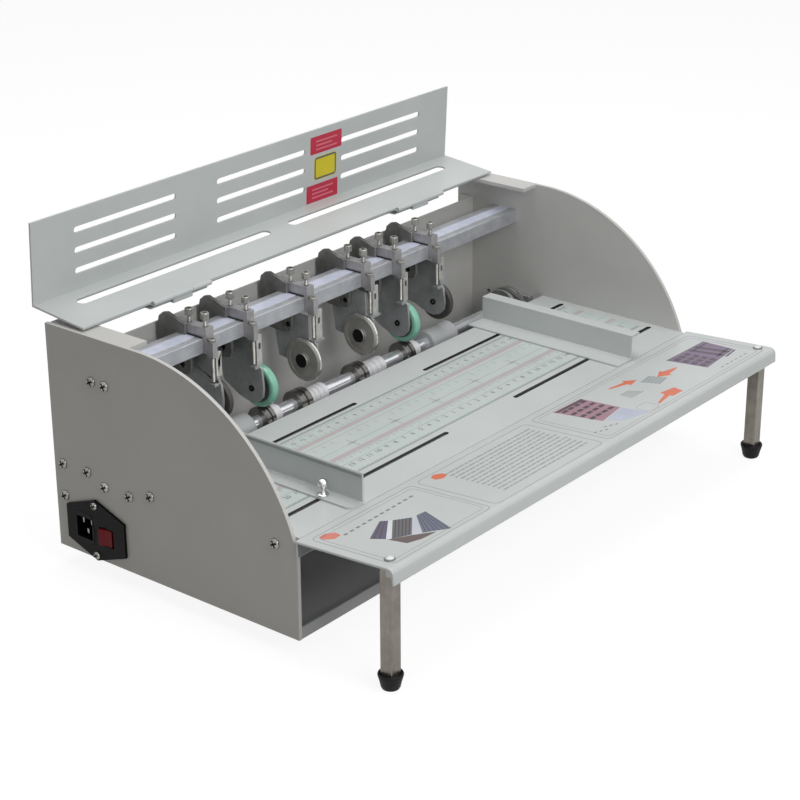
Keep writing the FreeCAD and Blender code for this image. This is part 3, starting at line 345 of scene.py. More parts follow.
def in_slot(middle, normal):
    """Whether a face of the table is a wall of one of its slots."""
    in_band = any(near < middle.y < far for near, far in slot_bands)
    return abs(normal.z) < 0.5 and middle.z > table_top - slot_depth and in_band


keep(("feed_table",), sheet_coat, 0.3, second=slot_wall_shade, where=in_slot)
keep(("cover", "hinge_strip", "right_fence", "hinge_fixed_leaves", "hinge_moving_leaves"), sheet_coat, 0.35)
# The leaf's rear lip, facing forward by the table, is drawn dark grey as painted shade.
rear_lip_shade = powder_coat("rear_lip_painted_shade", "6e706f", "626463", 0.5)
keep(("front_leaf",), sheet_coat, 0.7, 14, second=rear_lip_shade,
     where=lambda middle, normal: normal.y < -0.9 and middle.y > -8)


# Left fence: a bent angle of the same sheet. Its foot has a rounded front corner, and the
# top edge of its upright is hemmed outwards and leans over. The hem is drawn in a darker
# coat as painted shade.
def extruded(outline, start, stop, plane="yz"):
    """Prism from a closed outline in mm of the machine frame, drawn in the yz, xz or xy plane."""
    bm = bmesh.new()
    spot = {"yz": lambda a, b: at(start, a, b), "xz": lambda a, b: at(a, start, b),
            "xy": lambda a, b: at(a, b, start)}[plane]
    way = Vector({"yz": (1, 0, 0), "xz": (0, 1, 0), "xy": (0, 0, 1)}[plane]) * (stop - start) / 1000
    face = bm.faces.new([bm.verts.new(spot(a, b)) for a, b in outline])
    grown = bmesh.ops.extrude_face_region(bm, geom=[face])
    moved = [each for each in grown["geom"] if isinstance(each, bmesh.types.BMVert)]
    bmesh.ops.translate(bm, vec=way, verts=moved)
    bmesh.ops.recalc_face_normals(bm, faces=bm.faces)
    return bm


def arc(x, y, radius, first, last, steps=6):
    """Points of a circular arc, angles in degrees."""
    turns = [math.radians(first + (last - first) * index / steps) for index in range(steps + 1)]
    return [(x + radius * math.cos(turn), y + radius * math.sin(turn)) for turn in turns]


fence_low, fence_high = [(Vector(each) - corner) * 1000 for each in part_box("left_fence")]
sheet, bend, foot_corner = 1.5, 2.4, 5
wall = fence_high.x - sheet
foot, crest = fence_low.z, fence_high.z
bend_start = wall - bend + sheet
upright = arc(bend_start, foot + bend, bend, -90, 0) + [
    (wall + sheet, crest - 0.5), (wall + 1.0, crest), (wall + 0.5, crest), (wall, crest - 0.5)]
upright += [(wall, foot + bend)] + arc(bend_start, foot + bend, bend - sheet, 0, -90, 4)
plate = [(bend_start, fence_low.y), (bend_start, fence_high.y), (fence_low.x + 1, fence_high.y),
         (fence_low.x, fence_high.y - 1)]
plate += arc(fence_low.x + foot_corner, fence_low.y + foot_corner, foot_corner, 180, 270)
hem = [(wall - 0.1, crest - 3.6), (wall - 0.6, crest - 3.4), (wall - 1.3, crest - 0.6),
       (wall - 0.9, crest - 0.1), (wall + 0.4, crest - 0.05)]
bent = merge([extruded(upright, fence_low.y, fence_high.y, "xz"), extruded(plate, foot, foot + sheet, "xy")])
mesh_piece("left_fence_sheet", bent, sheet_coat, "left_fence", 30, ["left_fence"])
hem_coat = powder_coat("powder_coat_shaded_hem", "9aa09e", "8f9593", 0.42)
mesh_piece("left_fence_hem", extruded(hem, fence_low.y + 0.1, fence_high.y - 0.1, "xz"), hem_coat,
           "left_fence", 50)

# Fence screws: turned thumb screws with a domed knob over a waisted neck and a flange, and
# hexagon nuts below the table. Chrome-plated brass, polished.
polished = metal("polished_chrome", "f3f3f3", "cfcfce", 0.09, lines=500.0)
thumb = [(0, 1.7), (0, 4.2), (0.3, 4.4), (1.1, 4.4), (1.5, 4.0), (2.0, 2.7), (3.4, 2.0), (5.6, 2.0),
         (6.6, 2.6), (7.2, 3.5), (8.2, 3.9), (10.0, 3.9), (11.3, 3.4), (12.2, 2.2), (12.6, 0.8), (12.6, 0)]
nut = [(-6.05, 1.75), (-6.05, 3.6), (-5.8, 4.0), (-4.1, 4.0), (-3.85, 3.6), (-3.85, 1.75)]
slot_rows = (29.2, 118.3)
right_wall = (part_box("right_fence")[0][0] - corner.x) * 1000 + 19.5
for side, x in (("left", wall - 8.2), ("right", right_wall + 9.5)):
    parts = []
    for y in slot_rows:
        seat = at(x, y, foot + sheet)
        parts.append(lathe([(-8, 0), (-8, 1.4), (-7.7, 1.7)] + thumb, "z", seat, 36))
        parts.append(lathe(nut, "z", seat, 6, closed=True))
    mesh_piece(side + "_thumb_screws", merge(parts), polished, side + "_fence", 35,
               [side + "_fence_screws"])

# Corner screws of the leaf: white nylon caps pressed over the screws that join leaf and legs,
# each in a grey ring that is painted shadow round the cap. Both lie flat on the leaf, so they
# lean with it.
leaf_tilt, leaf_top = math.radians(3.75), 77.1


def on_leaf(x, y, lift=0.0):
    """A point above the leaf's upper face; y is 0 at the table and runs to the back."""
    return at(x, y * math.cos(leaf_tilt) + lift * math.sin(leaf_tilt),
              leaf_top - y * math.sin(leaf_tilt) + lift * math.cos(leaf_tilt))


def moulded(name, light, dark, rough, grit=900.0, depth=0.00004, coat=0.0, translucent=0.0, shine=0.5):
    """Moulded plastic or rubber with a matt or glossy mould skin.

    The skin's grit is 0.7 to 3 mm across, far coarser than the real one, so that it shows.
    """
    made, tree, where = bare_finish(name)
    grain = add(tree, "ShaderNodeTexNoise", {"Scale": grit, "Detail": 3.0}, {"Vector": where})
    cloud = add(tree, "ShaderNodeTexNoise", {"Scale": 60.0, "Detail": 2.0}, {"Vector": where})
    tone = add(tree, "ShaderNodeMix", {6: srgb(dark), 7: srgb(light)}, {0: cloud.outputs[0]},
               data_type="RGBA")
    gloss = add(tree, "ShaderNodeMapRange", {"To Min": rough - 0.08, "To Max": rough + 0.08},
                {"Value": grain.outputs[0]})
    bump = add(tree, "ShaderNodeBump", {"Strength": 0.3, "Distance": depth}, {"Height": grain.outputs[0]})
    shader = add(tree, "ShaderNodeBsdfPrincipled",
                 {"Coat Weight": coat, "Subsurface Weight": translucent, "Subsurface Scale": 0.002,
                  "Specular IOR Level": shine},
                 {"Base Color": tone.outputs[2], "Roughness": gloss.outputs[0], "Normal": bump.outputs[0]})
    add(tree, "ShaderNodeOutputMaterial", links={"Surface": shader.outputs[0]})
    return made


white_nylon = moulded("white_nylon", "f2f2f0", "e4e4e2", 0.35)
cap_ring_shade = moulded("cap_ring_painted_shadow", "7d8182", "686c6d", 0.6)
leg_centres, leg_front = (10.0, 484.0), -72
lean = Matrix.Rotation(-leaf_tilt, 4, "X")
caps, shadow_rings = [], []
for x in leg_centres:
    seat = Matrix.Translation(on_leaf(x, leg_front)) @ lean
    cap = lathe([(0, 0), (0, 2.9), (1.0, 2.9), (1.5, 2.3), (1.75, 1.2), (1.8, 0)], "z", Vector(), 28)
    shadow_ring = lathe([(0, 2.9), (0, 3.9), (0.5, 3.9), (0.7, 3.6), (0.7, 2.9)], "z", Vector(), 28, closed=True)
    for bm in (cap, shadow_ring):
        bmesh.ops.transform(bm, matrix=seat, verts=bm.verts)
    caps.append(cap)
    shadow_rings.append(shadow_ring)
mesh_piece("leaf_screw_caps", merge(caps), white_nylon, "frame", 50)
mesh_piece("leaf_screw_shadow_rings", merge(shadow_rings), cap_ring_shade, "frame", 50)


# Scale on the table between the two rows of slots: a printed film with grey borders, two
# dusty red bands, ticks 5 and 2.5 mm apart and whole centimetres counted from the middle.
def ink(name, code, dark):
    """Screen-printed ink or film: flat colour with a faint mottle under a thin satin coat."""
    return moulded(name, code, dark, 0.42, 1500.0, 0.000004, 0.1)


def raised(outlines, onto, low, high):
    """Thin plates of film or ink between two heights above a face, from outlines in mm on it."""
    bm = bmesh.new()
    for outline in outlines:
        face = bm.faces.new([bm.verts.new(onto(x, y, low)) for x, y in outline])
        grown = bmesh.ops.extrude_face_region(bm, geom=[face])
        moved = [each for each in grown["geom"] if isinstance(each, bmesh.types.BMVert)]
        bmesh.ops.translate(bm, vec=onto(0, 0, high) - onto(0, 0, low), verts=moved)
    bmesh.ops.recalc_face_normals(bm, faces=bm.faces)
    return bm


def bar(x0, y0, x1, y1):
    """Outline of a rectangle."""
    return [(x0, y0), (x1, y0), (x1, y1), (x0, y1)]


def rounded(x0, y0, x1, y1, r):
    """Outline of a rectangle with rounded corners."""
    return (arc(x0 + r, y0 + r, r, 180, 270) + arc(x1 - r, y0 + r, r, 270, 360)
            + arc(x1 - r, y1 - r, r, 0, 90) + arc(x0 + r, y1 - r, r, 90, 180))


def ring_pieces(x0, y0, x1, y1, r, line):
    """Closed line round a rounded rectangle, as a chain of short quads."""
    outer, inner = rounded(x0, y0, x1, y1, r), rounded(x0 + line, y0 + line, x1 - line, y1 - line, r - line)
    count = len(outer)
    return [[outer[i], outer[(i + 1) % count], inner[(i + 1) % count], inner[i]] for i in range(count)]


def on_table(x, y, lift=0.0):
    """A point above the table's upper face."""
    return at(x, y, table_top + lift)


def printed(name, outlines, onto, low, high, material, body="frame"):
    """One layer of film or ink as a piece of its own."""
    mesh_piece(name, raised(outlines, onto, low, high), material, body, 20)


film_low, film_high, ink_high = -0.1, 0.03, 0.06
film = ink("printed_film_pale_green", "c9d2cf", "bec8c5")
grey_ink = ink("grey_print", "a3a9a9", "959b9b")
red_ink = ink("dusty_red_print", "c2b7b9", "b6abad")
dark_ink = ink("dark_grey_print", "5f6566", "535859")
scale_start, scale_end, scale_front, scale_back = 10.0, 480.0, 35.5, 114.5
film_sheet = rounded(scale_start, scale_front, scale_end, scale_back, 4)
printed("scale_film", [film_sheet], on_table, film_low, film_high, film)
near_y, far_y = scale_front + 1, scale_back - 1
borders = [bar(14, near_y, 476, near_y + 2), bar(14, far_y - 2.2, 476, far_y)]
borders += [bar(12, 47 + shift, 478, 47.4 + shift) for shift in (5, 25.5, 41.5)]
printed("scale_borders", borders, on_table, film_high, ink_high, grey_ink)
bands = [bar(12, 60.8, 478, 65.4), bar(12, 92.8, 478, 97.2)]
printed("scale_bands", bands, on_table, film_high, ink_high, red_ink)
ticks, middle_x, near_ticks, far_ticks = [], 245.0, 60.4, 97.6
for index in range(-46, 47):
    x = middle_x + 5 * index
    long = 4.2 if index % 2 == 0 else 2.4
    ticks += [bar(x - 0.25, far_ticks, x + 0.25, far_ticks + long),
              bar(x - 0.25, near_ticks - long, x + 0.25, near_ticks)]
    if index % 10 == 0:
        ticks += [bar(x - 0.4, 66, x + 0.4, 80), bar(x - 5, 72.6, x + 5, 73.4)]
    elif index % 2 == 0:
        ticks.append(bar(x - 0.3, 82, x + 0.3, 86))
for index in range(-92, 93):
    x = middle_x + 2.5 * index
    ticks += [bar(x - 0.15, far_ticks, x + 0.15, 99), bar(x - 0.15, 59, x + 0.15, near_ticks),
              bar(x - 0.6, 108.4 + 0.5 * (index % 3), x + 0.8, 109 + 0.5 * (index % 3)),
              bar(x - 0.7, 38.4 + 0.7 * (index % 2), x + 0.7, 39 + 0.7 * (index % 2))]
printed("scale_ticks", ticks, on_table, film_high, ink_high, grey_ink)
numbers = []
for index in range(-22, 23):
    for y, size in ((103.2, 5.0), (46.5, 6.0)):
        words = bpy.data.curves.new("number", "FONT")
        words.body, words.size, words.align_x = str(abs(index)), size / 1000, "CENTER"
        words.extrude, words.resolution_u = (ink_high - film_high) / 2000, 2
        holder = bpy.data.objects.new("number", words)
        bm = bmesh.new()
        bm.from_mesh(holder.to_mesh())
        bmesh.ops.remove_doubles(bm, verts=bm.verts, dist=2e-6)
        bmesh.ops.recalc_face_normals(bm, faces=bm.faces)
        place = on_table(middle_x + 10 * index, y, (ink_high + film_high) / 2)
        bmesh.ops.translate(bm, vec=place, verts=bm.verts)
        numbers.append(bm)
        bpy.data.objects.remove(holder)
        bpy.data.curves.remove(words)
mesh_piece("scale_numbers", merge(numbers), dark_ink, "frame", 20)

# Printed panels on the leaf: three fields in thin rounded outlines, with rows of short bars
# where text would stand, plain coloured marks and arrows, and patches with printed creases.
leaf_panels = [(5, -79, 113, -7), (118, -79, 250, -7), (257, -79, 483, -7)]
lines = [piece for x0, y0, x1, y1 in leaf_panels for piece in ring_pieces(x0, y0, x1, y1, 5, 0.7)]
lines += ring_pieces(9, -75, 109.5, -11, 3.5, 0.5)
plum_lines = ring_pieces(262, -75.5, 478.5, -10.5, 3.5, 0.45) + ring_pieces(319, -74, 335, -60, 4, 0.4)


def leaf_print(name, outlines, material, high=ink_high):
    """One layer of ink on the leaf, rooted just below its face."""
    printed(name, outlines, on_leaf, film_low, high, material)


leaf_print("leaf_outlines", lines, grey_ink)
leaf_print("leaf_plum_outlines", plum_lines, ink("pale_plum_print", "ab9fa6", "a0949b"))
titles, words = [], []
for row in range(12):
    x, y, step = 141.0, -15.5 - 4.7 * row, row
    while x < 243:
        long = (3.2, 5.5, 2.4, 6.5, 4.0, 7.5, 3.0, 5.0)[step % 8]
        words.append(bar(x, y - 1.6, min(x + long, 245), y))
        x, step = x + long + 1.1, step + 3
for index in range(12):
    titles.append(bar(23 + index * 6.6, -23 + 0.2 * index, 26.6 + index * 6.6, -21 + 0.2 * index))
for index in range(6):
    titles += [bar(262 + index * 4.4, -63 - 2 * (index % 3), 264.6 + index * 4.4, -61.6 - 2 * (index % 3)),
               bar(430 + index * 7, -70.6, 434 + index * 7, -69.6),
               bar(337, -36 - 2 * index, 349 + index, -35.3 - 2 * index)]
leaf_print("leaf_title_bars", titles, ink("mid_grey_print", "858b8a", "7a807f"))
leaf_print("leaf_text_bars", words, ink("soft_grey_print", "9ca2a1", "919796"))
orange = ink("orange_print", "dd7350", "d26644")
coral = ink("coral_print", "e08878", "d67a6a")
leaf_print("leaf_orange_marks", [
    [(131, -11), (136, -9), (142, -13), (141, -18), (135, -19), (130, -16)],
    [(344, -19.7), (362, -22.5), (364, -19.5), (372, -28.2), (360, -30.5), (361, -27), (344, -21.6)],
    [(412, -39.4), (398, -35.4), (398, -32.6), (386, -38.4), (396, -45.6), (397, -42.4), (412, -40.8)],
    [(338, -69), (356, -64), (357, -59), (373, -62), (370, -71.5), (357, -71), (356, -68.4), (338, -71)]],
    orange)
leaf_print("leaf_coral_mark", [[(11, -10), (17, -9.5), (23, -14), (22, -20), (15, -20.5), (10, -15)]], coral)
strips = (("violet", "5b526c", [(27.5, -40.5), (53.3, -27.9), (57, -32.3), (33, -50)]),
          ("white", "e9e9ef", [(33, -50), (57, -32.3), (59.2, -34.4), (35.4, -53)]),
          ("graphite", "626567", [(35.4, -53), (59.2, -34.4), (70, -42.8), (48, -60)]),
          ("pale", "ced0da", [(48, -60), (70, -42.8), (74, -43.2), (54, -64.4)]),
          ("slate_blue", "666d83", [(54, -64.4), (74, -43.2), (82.9, -44.2), (70.2, -76.4), (62, -70)]),
          ("brown", "5f4d4c", [(33, -51.6), (47.6, -61), (60.8, -71.4), (46, -70), (35.5, -66)]),
          ("grey_patch", "b1b7b8", [(369, -33), (384, -31), (389, -46), (374, -49)]),
          ("mauve", "766380", [(421.6, -24.2), (475.9, -25.5), (472.1, -56.5), (424.3, -60.9)]),
          ("rose", "ab8390", [(280.2, -12.1), (315.1, -13.6), (315.6, -49.7), (285, -54.2)]),
          ("pale_blue", "c3cadb", [(288, -55.5), (315.6, -50.8), (318.7, -73.9), (293.6, -66.5)]))
for name, code, outline in strips:
    shade = "".join(f"{int(code[i:i + 2], 16) * 9 // 10:02x}" for i in (0, 2, 4))
    leaf_print("leaf_patch_" + name, [outline], ink(name + "_print", code, shade))
folds = [bar(425 + 7.4 * i, -57.5 + 7.9 * j, 430.4 + 7.4 * i, -52.2 + 7.9 * j)
         for i in range(3) for j in range(4)]
folds += [[(x, -27), (x + 4, -27), (x + 7.5, -57), (x + 3.5, -57)] for x in (450, 459)]
folds += [bar(283.5 + 8 * i, -46 + 8.4 * j, 289.5 + 8 * i, -42.5 + 8.4 * j)
          for i in range(4) for j in range(4)]
folds += [[(281, -13.5), (314.5, -14.5), (314.5, -17), (282, -16)],
          [(453, -59.5), (471.5, -57.5), (471, -59), (455, -61)]]


def creases(a, b, c, d, places, line=0.05):
    """Thin stripes across a four-sided patch, side by side between its edges a-b and d-c."""
    def spot(p, q, part):
        return p[0] + (q[0] - p[0]) * part, p[1] + (q[1] - p[1]) * part
    return [[spot(a, d, t), spot(b, c, t), spot(b, c, t + line), spot(a, d, t + line)] for t in places]


folds += creases((35.4, -53), (59.2, -34.4), (70, -42.8), (48, -60), (0.12, 0.3, 0.48, 0.66, 0.84), 0.07)
folds += creases((54, -64.4), (74, -43.2), (82.9, -44.2), (70.2, -76.4),
                 (0.1, 0.24, 0.42, 0.56, 0.72, 0.88), 0.04)
folds += creases((27.5, -40.5), (53.3, -27.9), (57, -32.3), (33, -50), (0.2, 0.55), 0.09)
hatch = creases((369, -33), (384, -31), (389, -46), (374, -49), (0.1, 0.3, 0.5, 0.7, 0.88), 0.05)
second_ink = ink_high + 0.04
leaf_print("leaf_patch_hatch", hatch, ink("hatch_print", "949a9a", "898f8f"), second_ink)
folds += creases((450, -25), (475.9, -25.5), (472.1, -56.5), (450, -59), (0.12, 0.82), 0.06)
leaf_print("leaf_patch_folds", folds, ink("plum_print", "433541", "3a2d38"), second_ink)

# Patches on the cover's upright plate, between its slots: two plain red ones and a yellow
# one with a dark border, of printed film.
cover_tilt, cover_lean = math.radians(6), math.atan2(3.6, 62.35)
fold_back, fold_high, plate_depth, plate_slope = 198.6, 178.5, 53.5, 0.0577


def on_cover(x, high, lift=0.0):
    """A point before the upright plate's front face, high above the fold."""
    y = plate_depth + plate_slope * high - lift * math.cos(cover_lean)
    z = high + lift * math.sin(cover_lean)
    return at(x, fold_back + y * math.cos(cover_tilt) - z * math.sin(cover_tilt),
              fold_high + y * math.sin(cover_tilt) + z * math.cos(cover_tilt))


red_film = ink("red_printed_film", "cb1f44", "bd1a3c")
yellow_film = ink("yellow_printed_film", "e3d21e", "d8c618")
red_patches = [rounded(305, 42.4, 344, 57.2, 0.8), rounded(301, 1.4, 340, 16.4, 0.8)]
patch_high, mark_high = 0.08, 0.12
printed("cover_red_patches", red_patches, on_cover, film_low, patch_high, red_film, "cover")
pale_red = ink("pale_red_print", "e0788c", "d66c80")
stripes = [bar(x, y, x + long, y + 1.4) for x, y, long in
           ((312, 52, 26), (312, 48.6, 20), (312, 45.2, 26), (308, 11.4, 26), (308, 8, 20), (308, 4.6, 26))]
printed("cover_red_stripes", stripes, on_cover, patch_high, mark_high, pale_red, "cover")
yellow_patch = rounded(310, 19.6, 338, 39.6, 3)
printed("cover_yellow_patch", [yellow_patch], on_cover, film_low, patch_high, yellow_film, "cover")
border = ring_pieces(310.6, 20.2, 337.4, 39, 2.6, 1.5)
printed("cover_patch_border", border, on_cover, patch_high, mark_high, dark_ink, "cover")

# Legs: square steel tube, brushed lengthwise and clear-coated, pushed into black rubber
# cups with a flared lip and a rounded sole. Four round rubber pads carry the base.
tube = metal("brushed_steel_tube", "8b867e", "746f68", 0.36, (1, 1, 0.03), 900.0, metallic=0.85)
keep(("front_legs",), tube, 1.2)
black_rubber = moulded("black_rubber", "171616", "0f0e0e", 0.55, 700.0, 0.00006, shine=0.2)
feet, sole = [], -15
cup = [(0, 0), (0, 4.6), (0.8, 6.0), (2.2, 6.8), (6, 7.6), (10.2, 8.8), (11.4, 9.0), (12.2, 8.7),
       (12.6, 8.1), (12.2, 7.2), (11, 6.6), (10.8, 0)]
for x in leg_centres:
    feet.append(lathe(cup, "z", at(x, leg_front, sole), 40))
pad = [(0, 0), (0, 8.6), (0.6, 9.5), (2.5, 9.9), (9, 9.6), (14.2, 9.0), (15, 8.4), (15, 0)]
pad_inset, body_depth = 48.0, 237.0
for x in (pad_inset, width - pad_inset):
    for y in (pad_inset, body_depth - pad_inset):
        feet.append(lathe(pad, "z", at(x, y, sole), 40))
mesh_piece("rubber_cups_and_pads", merge(feet), black_rubber, "frame", 50, ["rubber_feet"])

# Tool bar: aluminium extrusion, drawn and clear-anodised. Its top has a slightly raised
# middle band between two narrow V grooves, drawn near-white as painted highlight, and small
# lips at both edges.
bar_alloy = metal("drawn_anodised_aluminium", "c7c9cd", "adafb5", 0.4, (0.015, 1, 1), 1400.0, metallic=0.5)
bar_band_highlight = metal("bar_band_painted_highlight", "e2e6f6", "ced3e8", 0.3, (0.01, 1, 1), 1600.0, metallic=0.12)
bar_low, bar_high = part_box("tool_bar")
front, rear = (bar_low[1] - corner.y) * 1000, (bar_high[1] - corner.y) * 1000
under, bar_top = (bar_low[2] - corner.z) * 1000, (bar_high[2] - corner.z) * 1000
deep, thick = rear - front, bar_top - under
groove_near, groove_far, groove_deep, panel_sheet = 6.6, 18.4, 0.9, 3
section = [(0.3, 0), (0, 0.3), (0, thick - 0.5), (0.5, thick)]
for place in (groove_near, groove_far):
    section += [(place - 0.7, thick), (place - 0.1, thick - groove_deep),
                (place + 0.1, thick - groove_deep), (place + 0.7, thick)]
section += [(deep - 0.5, thick), (deep, thick - 0.5), (deep, 0.3), (deep - 0.3, 0)]
outline = [(front + a, under + b) for a, b in section]
bm = extruded(outline, panel_sheet, width - panel_sheet)
for face in bm.faces:
    middle = (face.calc_center_median() - corner) * 1000
    face.material_index = 1 if face.normal.z > 0.9 and groove_near < middle.y - front < groove_far else 0
mesh_piece("extruded_tool_bar", bm, [bar_alloy, bar_band_highlight], "frame", 25, ["tool_bar"])

# Stations: milled aluminium clamp blocks ride on the bar, each with a thin dark strip at its
# left foot that is painted shadow of the gap between block and bar. Grey passivated brackets
# stand behind them, and arms of dark sheet steel, drawn lighter grey as painted light, carry
# the wheels. Most have bright sheared edges, and their upper front-facing faces take the same
# bright steel as painted highlight.
block_alloy = metal("milled_aluminium", "b6b4b6", "9b999b", 0.42, (1, 1, 0.05), 800.0, metallic=0.5)
milled_edge = metal("broken_milled_edge", "dad9d7", "bdbcba", 0.3, lines=900.0, metallic=0.6)
# The arms' grey is drawn lighter than their dark steel, as painted light in the shaded bay.
arm_plate_light_paint = metal("arm_steel_lightened_painted_light", "abadaf", "929496", 0.45, lines=500.0, metallic=0.3)
zinc = metal("grey_passivated_steel", "7e7e7c", "666664", 0.5, lines=260.0, metallic=0.3)
zinc_edge = metal("passivated_edge", "a9a9a6", "8f8f8c", 0.45, lines=400.0, metallic=0.4)
# Bright steel for the arms' sheared rounded edges, and as painted highlight on their upper front-facing
# faces.
sheared_edge_and_highlight = metal("sheared_edge_and_painted_highlight", "dddcd7", "b9b7b1", 0.34, (1, 1, 0.2), 900.0, metallic=0.7)
for number in "123456":
    keep(("clamp_block_" + number,), block_alloy, 0.35, second=milled_edge, rim=True)
    keep(("bracket_" + number,), zinc, 0.3, second=zinc_edge, rim=True)
    keep(("arm_" + number,), arm_plate_light_paint, 0.4, 40, sheared_edge_and_highlight, number not in "34",
         lambda middle, normal: normal.y < -0.9 and middle.z > 116)

station_places = (94.5, 138.5, 207.0, 276.0, 315.0, 362.5)
# A thin dark strip at each block's left foot is painted shadow of the gap there.
gap_shadow_paint = metal("gap_line_painted_shadow", "3b3b40", "2b2b2f", 0.5, lines=500.0, metallic=0.4)
for number, place in enumerate(station_places, start=1):
    gap_shadow_strip = block((place - 0.75, front + 0.2, bar_top + 0.06), (place - 0.05, rear - 0.2, bar_top + 1.2),
                 0.15)
    mesh_piece("painted_gap_shadow_" + str(number), gap_shadow_strip, gap_shadow_paint, "station_" + str(number), 30)


# Station screws: two knurled cap screws with sunk sockets clamp each block, and a knurled
# pressure screw pushes down on the arm's tab. Turned steel, plated a dull grey.
def knurled(profile, centre, radius, teeth=20):
    """Turned head whose outer wall is drawn into straight knurls."""
    bm = lathe(profile, "z", Vector(), teeth * 2)
    for vert in bm.verts:
        out = math.hypot(vert.co.x, vert.co.y)
        turn_count = math.atan2(vert.co.y, vert.co.x) / (2 * math.pi) * teeth * 2
        if out > radius * 0.00096 and round(turn_count) % 2:
            vert.co.x *= 0.94
            vert.co.y *= 0.94
    bmesh.ops.translate(bm, vec=centre, verts=bm.verts)
    return bm


def threaded(radius, start, stop, centre, pitch=0.9):
    """Rod with ridges one pitch apart. Real threads are finer; this one is drawn coarse to show."""
    count = int((stop - start) / pitch)
    profile = [(start, 0), (start, radius * 0.82)]
    for index in range(count):
        profile += [(start + (index + 0.5) * pitch, radius), (start + (index + 1) * pitch, radius * 0.84)]
    profile += [(stop, radius * 0.84), (stop, 0)]
    return lathe(profile, "z", centre, 16)


plated = metal("plated_screw_steel", "b5b3ae", "8f8d88", 0.3, lines=600.0, metallic=0.8)
cap_rows, cap_radius, pressure_row, pressure_radius, tab_top = (174.0, 190.0), 3.3, 166, 3.0, 117.5
cap_head = [(14, 0), (14, 2.9), (14.3, cap_radius), (18.7, cap_radius), (19.2, 2.9), (19.2, 1.7),
            (17.0, 1.6), (16.9, 0)]
pressure_head = [(-1.5, 0), (-1.5, 2.6), (-1.2, pressure_radius), (0.5, pressure_radius), (0.9, 2.6),
                 (0.9, 1.3), (0.2, 1.2), (0.2, 0)]
for number, place in enumerate(station_places, start=1):
    parts = []
    for y in cap_rows:
        seat = at(place + 4, y, bar_top)
        parts.append(knurled(cap_head, seat, cap_radius))
        parts.append(threaded(1.7, 8.5, 14.2, seat))
    seat = at(place + 2.5, pressure_row, bar_top)
    parts.append(knurled(pressure_head, seat, pressure_radius))
    parts.append(threaded(1.5, tab_top - bar_top, -1.4, seat))
    mesh_piece("clamp_screws_" + str(number), merge(parts), plated, "station_" + str(number),
               30, ["screws_" + str(number)])

# Wheels: four soft ones, cast polyurethane or rubber on a pressed hub with a ball bearing,
# and two hardened steel creasing wheels with a ground, bevelled rim.
green_tread = moulded("cast_polyurethane_green", "94d2bb", "7abda4", 0.22, 300.0, 0.00002, 0.35, 0.12)
dark_tread = moulded("nitrile_rubber", "4a4744", "3c3936", 0.42, 600.0)
ground_steel = metal("ground_tool_steel", "b4b3af", "989692", 0.4, lines=1100.0, metallic=0.6)
hub_steel = metal("blackened_hub", "787b7c", "606364", 0.45, lines=700.0, metallic=0.4)
rim_steel = metal("polished_rim", "f2f1ee", "d8d6d1", 0.12)
